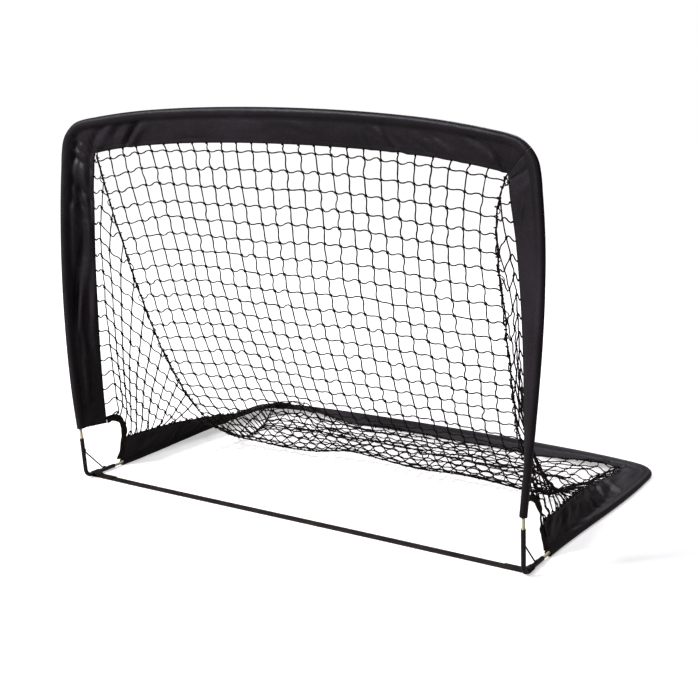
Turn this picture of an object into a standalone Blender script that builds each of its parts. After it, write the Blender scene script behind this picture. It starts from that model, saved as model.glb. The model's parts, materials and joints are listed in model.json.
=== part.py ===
"""Folding soccer goal: an arch of rods over the goal line and a U-shaped ground frame behind it,
both in cloth sleeves, with a slack net between them and two steel elbows at the front corners.

Metres, +Z up, +Y from the goal line into the goal, +X to the right for someone facing the mouth.
The origin is on the floor, under the middle of the goal-line strap. The frame's lines are worked
out for the right-hand side and mirrored for the left.
"""

import math

import bmesh
import bpy
from mathutils import Vector

# The goal's overall shape, measured to the middles of the rods
HALF_SPAN = 0.573  # middle of the goal to the upright leg of a front elbow
LEG_BEFORE_STRAP = 0.0325  # the upright legs stand this far in front of the strap
ARCH_LEAN = math.radians(7.0)  # the upright legs lean forwards
TOP_CORNER_IN = 0.0048  # the corners of the arch, in from the legs
TOP_CORNER_FORWARD = 0.0315
TOP_CORNER_Z = 0.8467
CROSSBAR_CROWN = 0.0466  # the middle of the crossbar, above the corners
REAR_CORNER_OUT = 0.017  # the rear corners, out from the legs
REAR_CORNER_BACK = 0.8055
REAR_CROWN = 0.0496  # the middle of the rear rod, behind the corners
POST_FOOT_SLOPES = (0.080, -0.100)  # outwards and backwards per metre of height, at the foot
POST_TOP_SLOPES = (-0.129, -0.030)  # the same where the post enters the corner
CROSSBAR_SLOPES = (0.020, 0.180)  # backwards and upwards per metre, leaving the corner
SIDE_IN_SLOPE = 0.037
REAR_BACK_SLOPE = 0.222
POST_BEND = 0.31  # handles of the rods' curves, as a share of the straight distance
SIDE_BEND = 0.32
RUN_STEPS = 7  # stations along a post or a side
HALF_RUN_STEPS = 4  # stations along half of the crossbar or of the rear rod
CURVE_MIDDLE = 0.75  # how far a cubic curve's middle follows its two handles

# Rods, steel tubes and ferrules
ROD_R = 0.0035
ROD_GAP = 0.0005  # between a rod and the bore round it
TUBE_WALL = 0.001
FERRULE_WALL = 0.0009
FERRULE_LENGTH = 0.070
ROD_END_GAP = 0.0006  # between the two rods in a ferrule
ELBOW_BEND_R = 0.020
ELBOW_STEPS = 6
ELBOW_UP = 0.105  # mouth of the upright leg above the floor
ELBOW_BACK = 0.100  # mouth of the rear leg behind the upright one
CORNER_BEND_R = 0.070
CORNER_LEG = 0.095  # from the sharp corner to a mouth of a corner elbow
CORNER_STEPS = 6
PLUG_DEPTH = 0.035  # how far a rod goes into an elbow
FOOT_DEPTH = 0.048  # how far a post's foot goes into a front elbow
POST_ROD_SHOWS = 0.025  # bare rod between the elbow and the fold, where the sleeve begins
SIDE_ROD_SHOWS = 0.030
FOLD_GAP = 0.0006
BRACE_R = 0.0015
BRACE_UP = 0.060  # the wire's ends, from the floor and from the upright leg
BRACE_BACK = 0.058
BRACE_END = 0.009
GAP = 0.0003  # between solids that touch

# Strap
STRAP_WIDTH = 0.025
STRAP_THICKNESS = 0.0014
STRAP_TAB = 0.040  # the end that lies back over the strap
STRAP_TAB_DROP = 0.018  # from the elbow to where the tab comes down on the strap
STRAP_LOOP_END = math.radians(125)
STRAP_LOOP_STEPS = 9

# Sleeves and binding tape
POCKET_GAP = 0.0004  # between a corner elbow and the cloth round it
CLOTH = 0.0013  # wall of the rod pocket
POCKET_SIDES = 8
BORE_SEAT = (0.25, 0.7)  # the bore's flat beside the band, as shares of half the band's thickness
BAND_THICKNESS = 0.0016
BAND_REACH = 0.0715  # middle of the rod to the free edge of the band
POST_TURN = (math.radians(71), math.radians(20))  # turned back, at the foot and at the corner
CROSSBAR_TURN = math.radians(21)
SIDE_TURN = (math.radians(78), math.radians(22))  # raised off the floor, in front and at the corner
REAR_TURN = math.radians(-2.5)
REAR_LIFT_FROM = 0.6  # share of the rear sleeve's half that lies flat
SLEEVE_ABOVE_FOLD = 0.001
MITRE_GAP = 0.0004
MITRE_STEP = 0.003  # least distance between the stations along the free edge
TAPE_WIDTH = 0.015
TAPE_THICKNESS = 0.0015
TAPE_ARC_R = 0.037
TAPE_END_LIFT = 0.004  # the tape's end, above the side rod
TAPE_STEPS = 6

# Net and seam cords
STRAND = 0.003
NET_THICKNESS = 0.0024
NET_GAP = 0.0012  # between a panel and the band or tape it is laced to
SEAM_GAP = 0.0026  # between a panel and the seam cord, which both bend
NET_ON_FLOOR = 0.2435  # how far in front of the rear corners the hanging net meets the floor
NET_FLOOR_BOW = 0.150  # how much it comes forward towards the sides, per square metre
NET_FLOOR_IN = 0.128  # where the seams meet the floor, in from the legs
NET_FLOOR_Z = 0.004
NET_TOP_SLOPE = 0.19  # backwards per metre of drop, under the crossbar
NET_FOOT_SLOPE = 0.02  # downwards per metre back, where it meets the floor
NET_SAG = (0.69, 0.26)  # handles of the hanging curve, as shares of its drop
NET_LIFT_FROM = 0.4  # share of the net on the floor that lies flat
SEAM_R = 0.0024
SEAM_FROM_CORNER = 0.010  # the seam cord begins and ends this far from the bands' corners
SEAM_STEPS = 14
SEAM_FLOOR_STEPS = 4
HANG_STEPS = 24  # of the hanging curve, before it is shared out into rows
NET_COLUMNS = 13
NET_ROWS_HANGING = 9
NET_ROWS_ON_FLOOR = 3
SIDE_COLUMNS = 3
SIDE_NET_SPAN = (0.10, 0.95)  # where the side panels begin and end, as shares of the seam's length

# Worked out from the sizes above
TUBE_R = ROD_R + ROD_GAP + TUBE_WALL
FERRULE_R = ROD_R + ROD_GAP + FERRULE_WALL
GROUND_Z = TUBE_R + GAP + STRAP_THICKNESS  # the ground rods, above the floor
POCKET_FLAT = math.cos(math.pi / POCKET_SIDES)
BORE_R = (TUBE_R + POCKET_GAP) / POCKET_FLAT
POCKET_R = BORE_R + CLOTH / POCKET_FLAT
ACROSS = Vector((1, 0, 0))
BACK = Vector((0, 1, 0))
UP = Vector((0, 0, 1))
SIDES = (("left", -1), ("right", 1))

STEEL = ("black_steel", (0.022, 0.022, 0.024), 0.38, 0.6)
WIRE = ("brace_wire", (0.035, 0.035, 0.036), 0.42, 0.7)
GLASS_FIBRE = ("glass_fibre", (0.60, 0.55, 0.36), 0.45, 0.0)
FERRULE_STEEL = ("ferrule_steel", (0.50, 0.50, 0.49), 0.35, 1.0)
SLEEVE_CLOTH = ("sleeve_cloth", (0.040, 0.036, 0.042), 0.55, 0.0)
TAPE_CLOTH = ("binding_tape", (0.028, 0.024, 0.024), 0.70, 0.0)
WEBBING = ("strap_webbing", (0.045, 0.034, 0.028), 0.75, 0.0)
NET_CORD = ("net_cord", (0.018, 0.014, 0.013), 0.80, 0.0)
SEAM_CORD = ("seam_cord", (0.020, 0.015, 0.014), 0.80, 0.0)


def direction(x, y, z):
    return Vector((x, y, z)).normalized()


def mirrored(points, side=-1):
    """The points of the right-hand side as they are for side 1, or their mirror image for -1."""
    return [Vector((p.x * side, p.y, p.z)) for p in points]


def smooth(share):
    share = min(max(share, 0.0), 1.0)
    return share * share * (3 - 2 * share)


def mix(a, b, share):
    return a + (b - a) * share


def bezier(start, start_way, end, end_way, handles, steps):
    """Points of a cubic curve that leaves start along start_way and reaches end along end_way."""
    a = start + start_way * handles[0]
    b = end - end_way * handles[1]
    found = []
    for k in range(steps + 1):
        t = k / steps
        s = 1 - t
        found.append(start * s**3 + a * 3 * s * s * t + b * 3 * s * t * t + end * t**3)
    return found


def fillet(corner, way_in, way_out, radius, steps):
    """Points of the arc that rounds a corner between two straight ways."""
    angle = way_in.angle(way_out)
    start = corner - way_in * radius * math.tan(angle / 2)
    side = (way_out - way_in * way_in.dot(way_out)).normalized()
    middle = start + side * radius
    found = []
    for k in range(steps + 1):
        turn = angle * k / steps
        found.append(middle + (way_in * math.sin(turn) - side * math.cos(turn)) * radius)
    return found


def tangents(points):
    """The way of a line at each of its points."""
    last = len(points) - 1
    return [(points[min(k + 1, last)] - points[max(k - 1, 0)]).normalized() for k in range(last + 1)]


def along(points, share):
    """The point at a share of a line's length."""
    steps = [(b - a).length for a, b in zip(points, points[1:])]
    want = min(max(share, 0.0), 1.0) * sum(steps)
    for start, end, step in zip(points, points[1:], steps):
        if want <= step and step > 0:
            return start.lerp(end, want / step)
        want -= step
    return points[-1].copy()


def at_x(points, x):
    """The point of a line that runs from left to right where it has the given x."""
    for start, end in zip(points, points[1:]):
        if x <= end.x:
            return start.lerp(end, max(x - start.x, 0.0) / (end.x - start.x))
    return points[-1].copy()


def clear_scene():
    for obj in list(bpy.data.objects):
        bpy.data.objects.remove(obj, do_unlink=True)


def material(finish):
    """The Principled material of a finish, made once."""
    name, colour, roughness, metallic = finish
    found = bpy.data.materials.get(name)
    if found:
        return found
    made = bpy.data.materials.new(name)
    made.use_nodes = True
    shader = made.node_tree.nodes["Principled BSDF"]
    shader.inputs["Base Color"].default_value = (*colour, 1)
    shader.inputs["Roughness"].default_value = roughness
    shader.inputs["Metallic"].default_value = metallic
    return made


def joint_empty(name, location, parent=None):
    """An empty on a joint's axis, for the moving pieces to hang from."""
    empty = bpy.data.objects.new(name, None)
    empty.empty_display_size = 0.05
    bpy.context.scene.collection.objects.link(empty)
    empty.location = location
    hang_on(empty, parent)
    return empty


def hang_on(obj, parent):
    if parent is not None:
        obj.parent = parent
        obj.matrix_parent_inverse.translation = -parent.location


def place(name, data, finish, joint=None):
    """An object in the scene, hung on its joint's empty if it has one."""
    obj = bpy.data.objects.new(name, data)
    bpy.context.scene.collection.objects.link(obj)
    obj.data.materials.append(material(finish))
    hang_on(obj, joint)
    return obj


def finished_mesh(name, mesh, finish, joint=None):
    data = bpy.data.meshes.new(name)
    mesh.to_mesh(data)
    mesh.free()
    data.shade_smooth()
    data.set_sharp_from_angle(angle=math.radians(50))
    return place(name, data, finish, joint)


def bar(name, points, radius, finish, wall=0.0, resolution=3, joint=None):
    """A round bar along the points, or a tube with open ends if it has a wall."""
    curve = bpy.data.curves.new(name, "CURVE")
    curve.dimensions = "3D"
    spline = curve.splines.new("POLY")
    spline.points.add(len(points) - 1)
    for point, location in zip(spline.points, points):
        point.co = (*location, 1)
    curve.bevel_depth = radius
    curve.bevel_resolution = resolution
    curve.render_resolution_u = 0
    curve.use_fill_caps = not wall
    obj = place(name, curve, finish, joint)
    if wall:
        shell = obj.modifiers.new("wall", "SOLIDIFY")
        shell.thickness = wall
        shell.offset = -1
    return obj


def skin(name, rings, bores, finish, joint=None):
    """A closed body over rings of points, with a bore through it if bores holds matching rings.

    Each ring is its own mirror image when walked backwards, and the two halves are split into
    triangles alike, so that a twisted band stays as thick as its rings.
    """
    mesh = bmesh.new()
    count = len(rings[0])
    outer = [[mesh.verts.new(p) for p in ring] for ring in rings]
    inner = [[mesh.verts.new(p) for p in ring] for ring in bores]
    for loops in (outer, inner):
        for a, b in zip(loops, loops[1:]):
            for k in range(count):
                after = (k + 1) % count
                if k < count // 2:
                    mesh.faces.new((a[k], a[after], b[after]))
                    mesh.faces.new((a[k], b[after], b[k]))
                else:
                    mesh.faces.new((a[k], a[after], b[k]))
                    mesh.faces.new((a[after], b[after], b[k]))
    for end in (0, -1):
        if not inner:
            mesh.faces.new(outer[end])
            continue
        for k in range(count):
            after = (k + 1) % count
            mesh.faces.new((outer[end][k], outer[end][after], inner[end][after], inner[end][k]))
    bmesh.ops.recalc_face_normals(mesh, faces=mesh.faces)
    return finished_mesh(name, mesh, finish, joint)


def ribbon(name, points, widths, finish, width, thickness):
    """A flat strip along the points, as wide as given along each point's width direction."""
    rings = []
    for point, way, wide in zip(points, tangents(points), widths):
        thick = way.cross(wide).normalized() * thickness / 2
        wide = wide.normalized() * width / 2
        rings.append([point + thick + wide, point + thick - wide,
                      point - thick - wide, point - thick + wide])
    return skin(name, rings, [], finish)


def net(name, rows, finish):
    """A net of flat strands over rows of points, as one sheet with a gap in each cell."""
    mesh = bmesh.new()
    grid = [[mesh.verts.new(p) for p in row] for row in rows]
    cells = []
    for a, b in zip(grid, grid[1:]):
        for k in range(len(a) - 1):
            cells.append(mesh.faces.new((a[k], a[k + 1], b[k + 1], b[k])))
    mesh.normal_update()
    bmesh.ops.inset_individual(mesh, faces=cells, thickness=STRAND / 2, use_even_offset=True)
    bmesh.ops.delete(mesh, geom=cells, context="FACES")
    bmesh.ops.triangulate(mesh, faces=mesh.faces)
    obj = finished_mesh(name, mesh, finish)
    sheet = obj.modifiers.new("thickness", "SOLIDIFY")
    sheet.thickness = NET_THICKNESS
    sheet.offset = 0
    return obj


class Corner:
    """A sharp corner of a frame, rounded by an elbow, with the mitre where two bands meet."""

    def __init__(self, point, way_in, way_out, normal, turn):
        half = way_in.angle(way_out) / 2
        inward = (way_out - way_in).normalized()
        self.arc = fillet(point, way_in, way_out, CORNER_BEND_R, CORNER_STEPS)
        self.way_in = way_in
        self.way_out = way_out
        self.way_across = (way_in + way_out).normalized()
        self.mouth_in = point - way_in * CORNER_LEG
        self.mouth_out = point + way_out * CORNER_LEG
        self.inner = (
            point
            + inward * BAND_REACH * math.cos(turn) / math.cos(half)
            + normal * BAND_REACH * math.sin(turn)
        )

    def elbow(self):
        return [self.mouth_in, *self.arc, self.mouth_out]

    def arc_from_in(self):
        """The arc's points up to the mitre, for the band that comes along way_in."""
        return self.arc[: CORNER_STEPS // 2 + 1]

    def arc_from_out(self):
        """The same for the band on the other side, walked towards the mitre."""
        return self.arc[: CORNER_STEPS // 2 - 1 : -1]


class Band:
    """A cloth band: the middle line of its rod pocket, the line's ways and its free edge."""

    def __init__(self, points, ways, tips):
        self.points, self.ways, self.tips = points, ways, tips

    def turned(self, side):
        return Band(mirrored(self.points, side), mirrored(self.ways, side), mirrored(self.tips, side))

    def whole(self):
        """Both halves of a band whose first station is in the middle of the goal."""
        other = self.turned(-1)
        return Band(
            other.points[:0:-1] + self.points,
            [-way for way in other.ways[:0:-1]] + self.ways,
            other.tips[:0:-1] + self.tips,
        )


def band_to_corner(run, arc, turns, normal, hand, corner):
    """The band over a run of stations and the arc after it, up to the corner's mitre.

    turns holds the angle from the frame's plane towards normal at each station of the run, and
    hand is 1 or -1 for the side of the run that the band is on.
    """
    points = list(run) + list(arc)
    ways = tangents(points)
    ways[-1] = corner.way_across * (1 if corner.way_across.dot(ways[-1]) > 0 else -1)
    straight = (run[-1] - run[-2]).normalized()
    tips = []
    for k, (point, way) in enumerate(zip(points, ways)):
        turn = turns[min(k, len(run) - 1)]
        inward = way.cross(normal).normalized() * hand
        tip = point + (inward * math.cos(turn) + normal * math.sin(turn)) * BAND_REACH
        room = (len(points) - 1 - k) * MITRE_STEP
        past = (tip - corner.inner).dot(straight) + room
        tips.append(tip - straight * max(past, 0.0))
    first = len(run)
    for k in range(first, len(points)):
        tips[k] = tips[first].lerp(corner.inner, (k - first) / (len(points) - 1 - first))
    points[-1] = points[-1] - ways[-1] * MITRE_GAP / 2
    tips[-1] = tips[-1] - ways[-1] * MITRE_GAP / 2
    return Band(points, ways, tips)


def band_section(point, way, tip):
    """One ring of a sleeve's outside and one of its rod pocket, round a station."""
    out = (tip - point).normalized()
    flat = way.cross(out).normalized()
    reach = (tip - point).length
    half = BAND_THICKNESS / 2
    seat = POCKET_R * POCKET_FLAT
    bore_seat = BORE_R * POCKET_FLAT

    def at(outwards, sideways, floor):
        location = point + out * outwards + flat * sideways
        location.z = max(location.z, floor)
        return location

    outer = [at(reach, half, 0), at(seat, half, 0)]
    narrow, wide = (half * share for share in BORE_SEAT)
    inner = [at(bore_seat, narrow, CLOTH / 2), at(bore_seat, wide, CLOTH / 2)]
    for k in range(POCKET_SIDES):
        turn = 2 * math.pi * (k + 0.5) / POCKET_SIDES
        outer.append(at(POCKET_R * math.cos(turn), POCKET_R * math.sin(turn), 0))
        inner.append(at(BORE_R * math.cos(turn), BORE_R * math.sin(turn), CLOTH / 2))
    outer += [at(seat, -half, 0), at(reach, -half, 0)]
    inner += [at(bore_seat, -wide, CLOTH / 2), at(bore_seat, -narrow, CLOTH / 2)]
    return outer, inner


def sleeve(name, band, joint=None):
    rings = []
    bores = []
    for point, way, tip in zip(band.points, band.ways, band.tips):
        outer, inner = band_section(point, way, tip)
        rings.append(outer)
        bores.append(inner)
    return skin(name, rings, bores, SLEEVE_CLOTH, joint)


def crowned_run(corner, crown, steps):
    """The right half of a run that bulges by crown between two corners, from the middle out."""
    mouth, way = corner.mouth_out, corner.way_out
    handle = crown / CURVE_MIDDLE
    other, other_way = mirrored([mouth, way])
    return bezier(other, other_way, mouth, -way, (handle, handle), 2 * steps)[steps:]


def run_from(line, start_share):
    """A line without its first stretch, cut inside its first segment."""
    return [line[0].lerp(line[1], start_share), *line[1:]]


# Lines of the arch and of the ground frame
leg_way = Vector((0, -math.sin(ARCH_LEAN), math.cos(ARCH_LEAN)))
elbow_corner = Vector((HALF_SPAN, -LEG_BEFORE_STRAP, GROUND_Z))
post_mouth = elbow_corner + leg_way * (ELBOW_UP - GROUND_Z) / leg_way.z
side_mouth = elbow_corner + BACK * ELBOW_BACK
fold_point = post_mouth + leg_way * POST_ROD_SHOWS
top_corner = Corner(
    Vector((HALF_SPAN - TOP_CORNER_IN, -LEG_BEFORE_STRAP - TOP_CORNER_FORWARD, TOP_CORNER_Z)),
    direction(*POST_TOP_SLOPES, 1),
    direction(-1, *CROSSBAR_SLOPES),
    BACK,
    POST_TURN[1],
)
rear_corner = Corner(
    Vector((HALF_SPAN + REAR_CORNER_OUT, REAR_CORNER_BACK - LEG_BEFORE_STRAP, GROUND_Z)),
    direction(-SIDE_IN_SLOPE, 1, 0),
    direction(-1, REAR_BACK_SLOPE, 0),
    UP,
    SIDE_TURN[1],
)
post_bend = (top_corner.mouth_in - fold_point).length * POST_BEND
side_bend = (rear_corner.mouth_in - side_mouth).length * SIDE_BEND
post_line = bezier(
    fold_point, direction(*POST_FOOT_SLOPES, 1),
    top_corner.mouth_in, top_corner.way_in, (post_bend, post_bend), RUN_STEPS,
)
side_line = bezier(
    side_mouth, BACK, rear_corner.mouth_in, rear_corner.way_in, (side_bend, side_bend), RUN_STEPS
)
crossbar_rise = TOP_CORNER_Z + CROSSBAR_CROWN - top_corner.mouth_out.z
crossbar_line = crowned_run(top_corner, crossbar_rise / top_corner.way_out.z, HALF_RUN_STEPS)
rear_rise = REAR_CORNER_BACK + REAR_CROWN - LEG_BEFORE_STRAP - rear_corner.mouth_out.y
rear_line = crowned_run(rear_corner, rear_rise / rear_corner.way_out.y, HALF_RUN_STEPS)


def shares(line):
    """How far along the line each of its points is."""
    steps = [(b - a).length for a, b in zip(line, line[1:])]
    return [sum(steps[:k]) / sum(steps) for k in range(len(line))]


def post_band():
    start = SLEEVE_ABOVE_FOLD / (post_line[1] - post_line[0]).length
    run = run_from(post_line, start)
    turns = [mix(*POST_TURN, share) for share in shares(run)]
    return band_to_corner(run, top_corner.arc_from_in(), turns, BACK, 1, top_corner)


def crossbar_band():
    turns = [CROSSBAR_TURN] * len(crossbar_line)
    band = band_to_corner(crossbar_line, top_corner.arc_from_out(), turns, BACK, -1, top_corner)
    return level_middle(band).whole()


def side_band():
    start = SIDE_ROD_SHOWS / (side_line[1] - side_line[0]).length
    run = run_from(side_line, start)
    turns = [mix(*SIDE_TURN, smooth(share)) for share in shares(run)]
    return band_to_corner(run, rear_corner.arc_from_in(), turns, UP, -1, rear_corner)


def rear_band():
    turns = []
    for share in shares(rear_line):
        lift = (share - REAR_LIFT_FROM) / (1 - REAR_LIFT_FROM)
        turns.append(mix(REAR_TURN, SIDE_TURN[1], smooth(lift)))
    band = band_to_corner(rear_line, rear_corner.arc_from_out(), turns, UP, 1, rear_corner)
    return level_middle(band).whole()


def level_middle(band):
    """The band with its first station square to the middle of the goal."""
    band.ways[0] = ACROSS.copy()
    band.tips[0].x = 0
    return band


def add_elbow(label, side):
    bend = fillet(elbow_corner, -leg_way, BACK, ELBOW_BEND_R, ELBOW_STEPS)
    line = mirrored([post_mouth, *bend, side_mouth], side)
    bar(f"{label}_base_elbow", line, TUBE_R, STEEL, TUBE_WALL)


def add_brace(label, side):
    """A wire across the elbow's corner, with its ends laid along the two legs."""
    off = TUBE_R + BRACE_R + GAP
    off_leg = Vector((0, leg_way.z, -leg_way.y)) * off
    top = elbow_corner + leg_way * BRACE_UP + off_leg
    foot = elbow_corner + BACK * BRACE_BACK + UP * off
    line = [top + leg_way * BRACE_END, top, foot, foot + BACK * BRACE_END]
    bar(f"{label}_elbow_brace", mirrored(line, side), BRACE_R, WIRE, resolution=2)


def add_strap():
    """Webbing on the floor between the elbows, its ends looped round their rear legs."""
    half = STRAP_THICKNESS / 2
    loop_r = TUBE_R + GAP + half
    loop = []
    for k in range(STRAP_LOOP_STEPS + 1):
        turn = mix(-math.pi / 2, STRAP_LOOP_END, k / STRAP_LOOP_STEPS)
        loop.append(Vector((
            HALF_SPAN + loop_r * math.cos(turn), 0, GROUND_Z + loop_r * math.sin(turn),
        )))
    tab_z = STRAP_THICKNESS + GAP + half
    tab_x = HALF_SPAN - STRAP_TAB_DROP
    tab = [Vector((tab_x, 0, tab_z)), Vector((tab_x - STRAP_TAB, 0, tab_z))]
    line = [Vector((0, 0, half)), *loop, *tab]
    line = mirrored(line[:0:-1]) + line
    ribbon("goal_line_strap", line, [BACK] * len(line), WEBBING, STRAP_WIDTH, STRAP_THICKNESS)


def add_foot(label, side, joint):
    line = [post_mouth - leg_way * FOOT_DEPTH, fold_point - leg_way * FOLD_GAP / 2]
    bar(f"{label}_post_foot", mirrored(line, side), ROD_R, GLASS_FIBRE, joint=joint)


def rod_line(line, start, plug_way):
    """A rod over a line, with its own start and its end plugged in the elbow after the line."""
    return [start, *line[1:], line[-1] + plug_way * PLUG_DEPTH]


def add_post(label, side, joint):
    start = post_line[0] + (post_line[1] - post_line[0]).normalized() * FOLD_GAP / 2
    line = rod_line(post_line, start, top_corner.way_in)
    bar(f"{label}_post_rod", mirrored(line, side), ROD_R, GLASS_FIBRE, joint=joint)


def add_half_rod(name, line, corner, side, joint=None):
    """One of the two rods that meet in a ferrule in the middle of the goal."""
    start = line[0] + (line[1] - line[0]).normalized() * ROD_END_GAP / 2
    points = rod_line(line, start, -corner.way_out)
    bar(name, mirrored(points, side), ROD_R, GLASS_FIBRE, joint=joint)


def add_side_rod(label, side):
    line = rod_line(side_line, side_mouth - BACK * PLUG_DEPTH, rear_corner.way_in)
    line.insert(1, side_mouth)
    bar(f"{label}_ground_rod", mirrored(line, side), ROD_R, GLASS_FIBRE)


def add_ferrule(name, line, joint=None):
    end = line[0].lerp(line[1], FERRULE_LENGTH / 2 / (line[1] - line[0]).length)
    points = [*mirrored([end]), line[0], end]
    bar(name, points, FERRULE_R, FERRULE_STEEL, FERRULE_WALL, joint=joint)


def tape_line(post, side):
    """The binding tape's middle line, from the post sleeve's lower end down to the side rod."""
    near = post.tips[0]
    far = side.points[0]
    far_tip = side.tips[0]
    top_z = near.z + TAPE_WIDTH / 2
    last_y = far.y - GAP - TAPE_WIDTH / 2
    foot_z = far.z + POCKET_R + TAPE_END_LIFT
    middle = Vector((0, last_y - TAPE_ARC_R, top_z - TAPE_ARC_R))
    line = [Vector((0, near.y + GAP, top_z))]
    for k in range(TAPE_STEPS + 1):
        turn = math.pi / 2 * (1 - k / TAPE_STEPS)
        line.append(middle + Vector((0, math.cos(turn), math.sin(turn))) * TAPE_ARC_R)
    line.append(Vector((0, last_y, far_tip.z)))
    line.append(Vector((0, last_y, foot_z)))
    for point in line:
        if point.z > far_tip.z:
            point.x = mix(far_tip.x, near.x, smooth((point.z - far_tip.z) / (top_z - far_tip.z)))
        else:
            point.x = mix(far.x, far_tip.x, (point.z - far.z) / (far_tip.z - far.z))
    return line


def tape_widths(line):
    """The way from the line towards the tape's outer edge, at each of its points."""
    return [ACROSS.cross(way).normalized() for way in tangents(line)]


def add_tape(label, side, line):
    points = mirrored(line, side)
    ribbon(f"{label}_binding", points, tape_widths(points), TAPE_CLOTH, TAPE_WIDTH, TAPE_THICKNESS)


def floor_y(x):
    """Where the hanging net meets the floor."""
    rear = REAR_CORNER_BACK - LEG_BEFORE_STRAP
    return rear - NET_ON_FLOOR - NET_FLOOR_BOW * x * x


def hanging_line(top, floor_x, steps):
    """The slack line of the net from a point under the crossbar down to the floor."""
    floor = Vector((floor_x, floor_y(floor_x), NET_FLOOR_Z))
    drop = top.z - floor.z
    handles = (NET_SAG[0] * drop, NET_SAG[1] * drop)
    line = bezier(
        top, direction(0, NET_TOP_SLOPE, -1),
        floor, direction(0, 1, -NET_FOOT_SLOPE), handles, HANG_STEPS,
    )
    for point in line:
        point.x = mix(top.x, floor_x, (top.z - point.z) / drop)
    return [along(line, k / steps) for k in range(steps + 1)]


def floor_line(start, end, steps):
    """The net's line over the floor, which rises to the rear sleeve's edge at its end."""
    line = []
    for k in range(steps + 1):
        share = k / steps
        point = start.lerp(end, share)
        point.z = mix(start.z, end.z, smooth((share - NET_LIFT_FROM) / (1 - NET_LIFT_FROM)))
        line.append(point)
    return line


def seam_line():
    """The right-hand seam, from the arch's inner corner to the ground frame's inner corner."""
    drop = hanging_line(top_corner.inner, HALF_SPAN - NET_FLOOR_IN, SEAM_STEPS)
    return drop + floor_line(drop[-1], rear_corner.inner, SEAM_FLOOR_STEPS)[1:]


def add_seam_cord(label, side, seam):
    total = sum((b - a).length for a, b in zip(seam, seam[1:]))
    cut = SEAM_FROM_CORNER / total
    steps = len(seam) + 2
    line = [along(seam, mix(cut, 1 - cut, k / steps)) for k in range(steps + 1)]
    bar(f"{label}_seam_cord", mirrored(line, side), SEAM_R, SEAM_CORD, resolution=2)


def add_rear_net(crossbar_edge, rear_edge):
    """The big panel: it hangs from the crossbar sleeve and runs on over the floor."""
    off = SEAM_R + SEAM_GAP
    rows = [[] for _ in range(NET_ROWS_HANGING + NET_ROWS_ON_FLOOR + 1)]
    for k in range(NET_COLUMNS + 1):
        share = 2 * k / NET_COLUMNS - 1
        top = at_x(crossbar_edge, share * (top_corner.inner.x - off))
        end = at_x(rear_edge, share * (rear_corner.inner.x - off))
        drop = hanging_line(
            top + direction(0, NET_TOP_SLOPE, -1) * NET_GAP,
            share * (HALF_SPAN - NET_FLOOR_IN - off),
            NET_ROWS_HANGING,
        )
        column = drop + floor_line(drop[-1], end - BACK * NET_GAP, NET_ROWS_ON_FLOOR)[1:]
        for row, point in zip(rows, column):
            row.append(point)
    net("rear_net", rows, NET_CORD)


def side_net_edge(post, tape, ground):
    """The side panel's outer points: down the post, round the tape and back along the ground."""
    down = post.tips[len(post_line) - 2 :: -1]
    down[-1] = down[-1] + UP * TAPE_WIDTH
    chord = 1 / math.cos(math.pi / 8)  # clears the tape's arc with two straight cells
    bulge = (TAPE_ARC_R + TAPE_WIDTH / 2) * (chord - 1)
    widths = tape_widths(tape)
    around = []
    for k in (1, 1 + TAPE_STEPS // 2, 1 + TAPE_STEPS):
        around.append(tape[k] + widths[k] * (TAPE_WIDTH / 2 + bulge))
    return down + around + ground.tips[: len(side_line)]


def add_side_net(label, side, edge, seam):
    """The panel between a post, a side of the ground frame and the seam cord."""
    rows = []
    for corner, share in zip(edge, shares(edge)):
        inner = along(seam, mix(*SIDE_NET_SPAN, share))
        inward = (inner - corner).normalized()
        outer = corner + inward * NET_GAP
        inner -= inward * (SEAM_R + SEAM_GAP)
        row = [outer.lerp(inner, j / SIDE_COLUMNS) for j in range(SIDE_COLUMNS + 1)]
        rows.append(mirrored(row, side))
    net(f"{label}_side_net", rows, NET_CORD)


def build():
    clear_scene()
    hinge = Vector((0, fold_point.y + ROD_R, fold_point.z))
    pull_out = joint_empty("arch_pull_out", Vector((0, post_mouth.y, post_mouth.z)))
    fold = joint_empty("arch_fold", hinge, pull_out)
    post, crossbar = post_band(), crossbar_band()
    side_sleeve, rear = side_band(), rear_band()
    tape = tape_line(post, side_sleeve)
    net_edge = side_net_edge(post, tape, side_sleeve)
    seam = seam_line()
    add_strap()
    for label, side in SIDES:
        add_elbow(label, side)
        add_brace(label, side)
        add_foot(label, side, pull_out)
        add_post(label, side, fold)
        bar(f"{label}_top_elbow", mirrored(top_corner.elbow(), side), TUBE_R, STEEL, TUBE_WALL,
            joint=fold)
        add_half_rod(f"{label}_top_rod", crossbar_line, top_corner, side, fold)
        add_side_rod(label, side)
        bar(f"{label}_rear_elbow", mirrored(rear_corner.elbow(), side), TUBE_R, STEEL, TUBE_WALL)
        add_half_rod(f"{label}_rear_rod", rear_line, rear_corner, side)
        sleeve(f"{label}_post_sleeve", post.turned(side), fold)
        sleeve(f"{label}_ground_sleeve", side_sleeve.turned(side))
        add_tape(label, side, tape)
        add_seam_cord(label, side, seam)
        add_side_net(label, side, net_edge, seam)
    add_ferrule("top_ferrule", crossbar_line, fold)
    add_ferrule("rear_ferrule", rear_line)
    sleeve("top_sleeve", crossbar, fold)
    sleeve("rear_sleeve", rear)
    add_rear_net(crossbar.tips, rear.tips)


build()
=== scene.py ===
"""Looks of a folding soccer goal: rods in cloth sleeves, two steel elbows and a slack knotted net.

Metres, +Z up, +Y from the goal line into the goal. The lines of the arch, the ground frame and the
net are worked out for the right-hand side and mirrored for the left.
"""

from __future__ import annotations

import json
import logging
import math
import sys
from dataclasses import dataclass, replace
from enum import Enum
from typing import Any

import bmesh
import bpy
import numpy as np
from mathutils import Matrix

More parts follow.
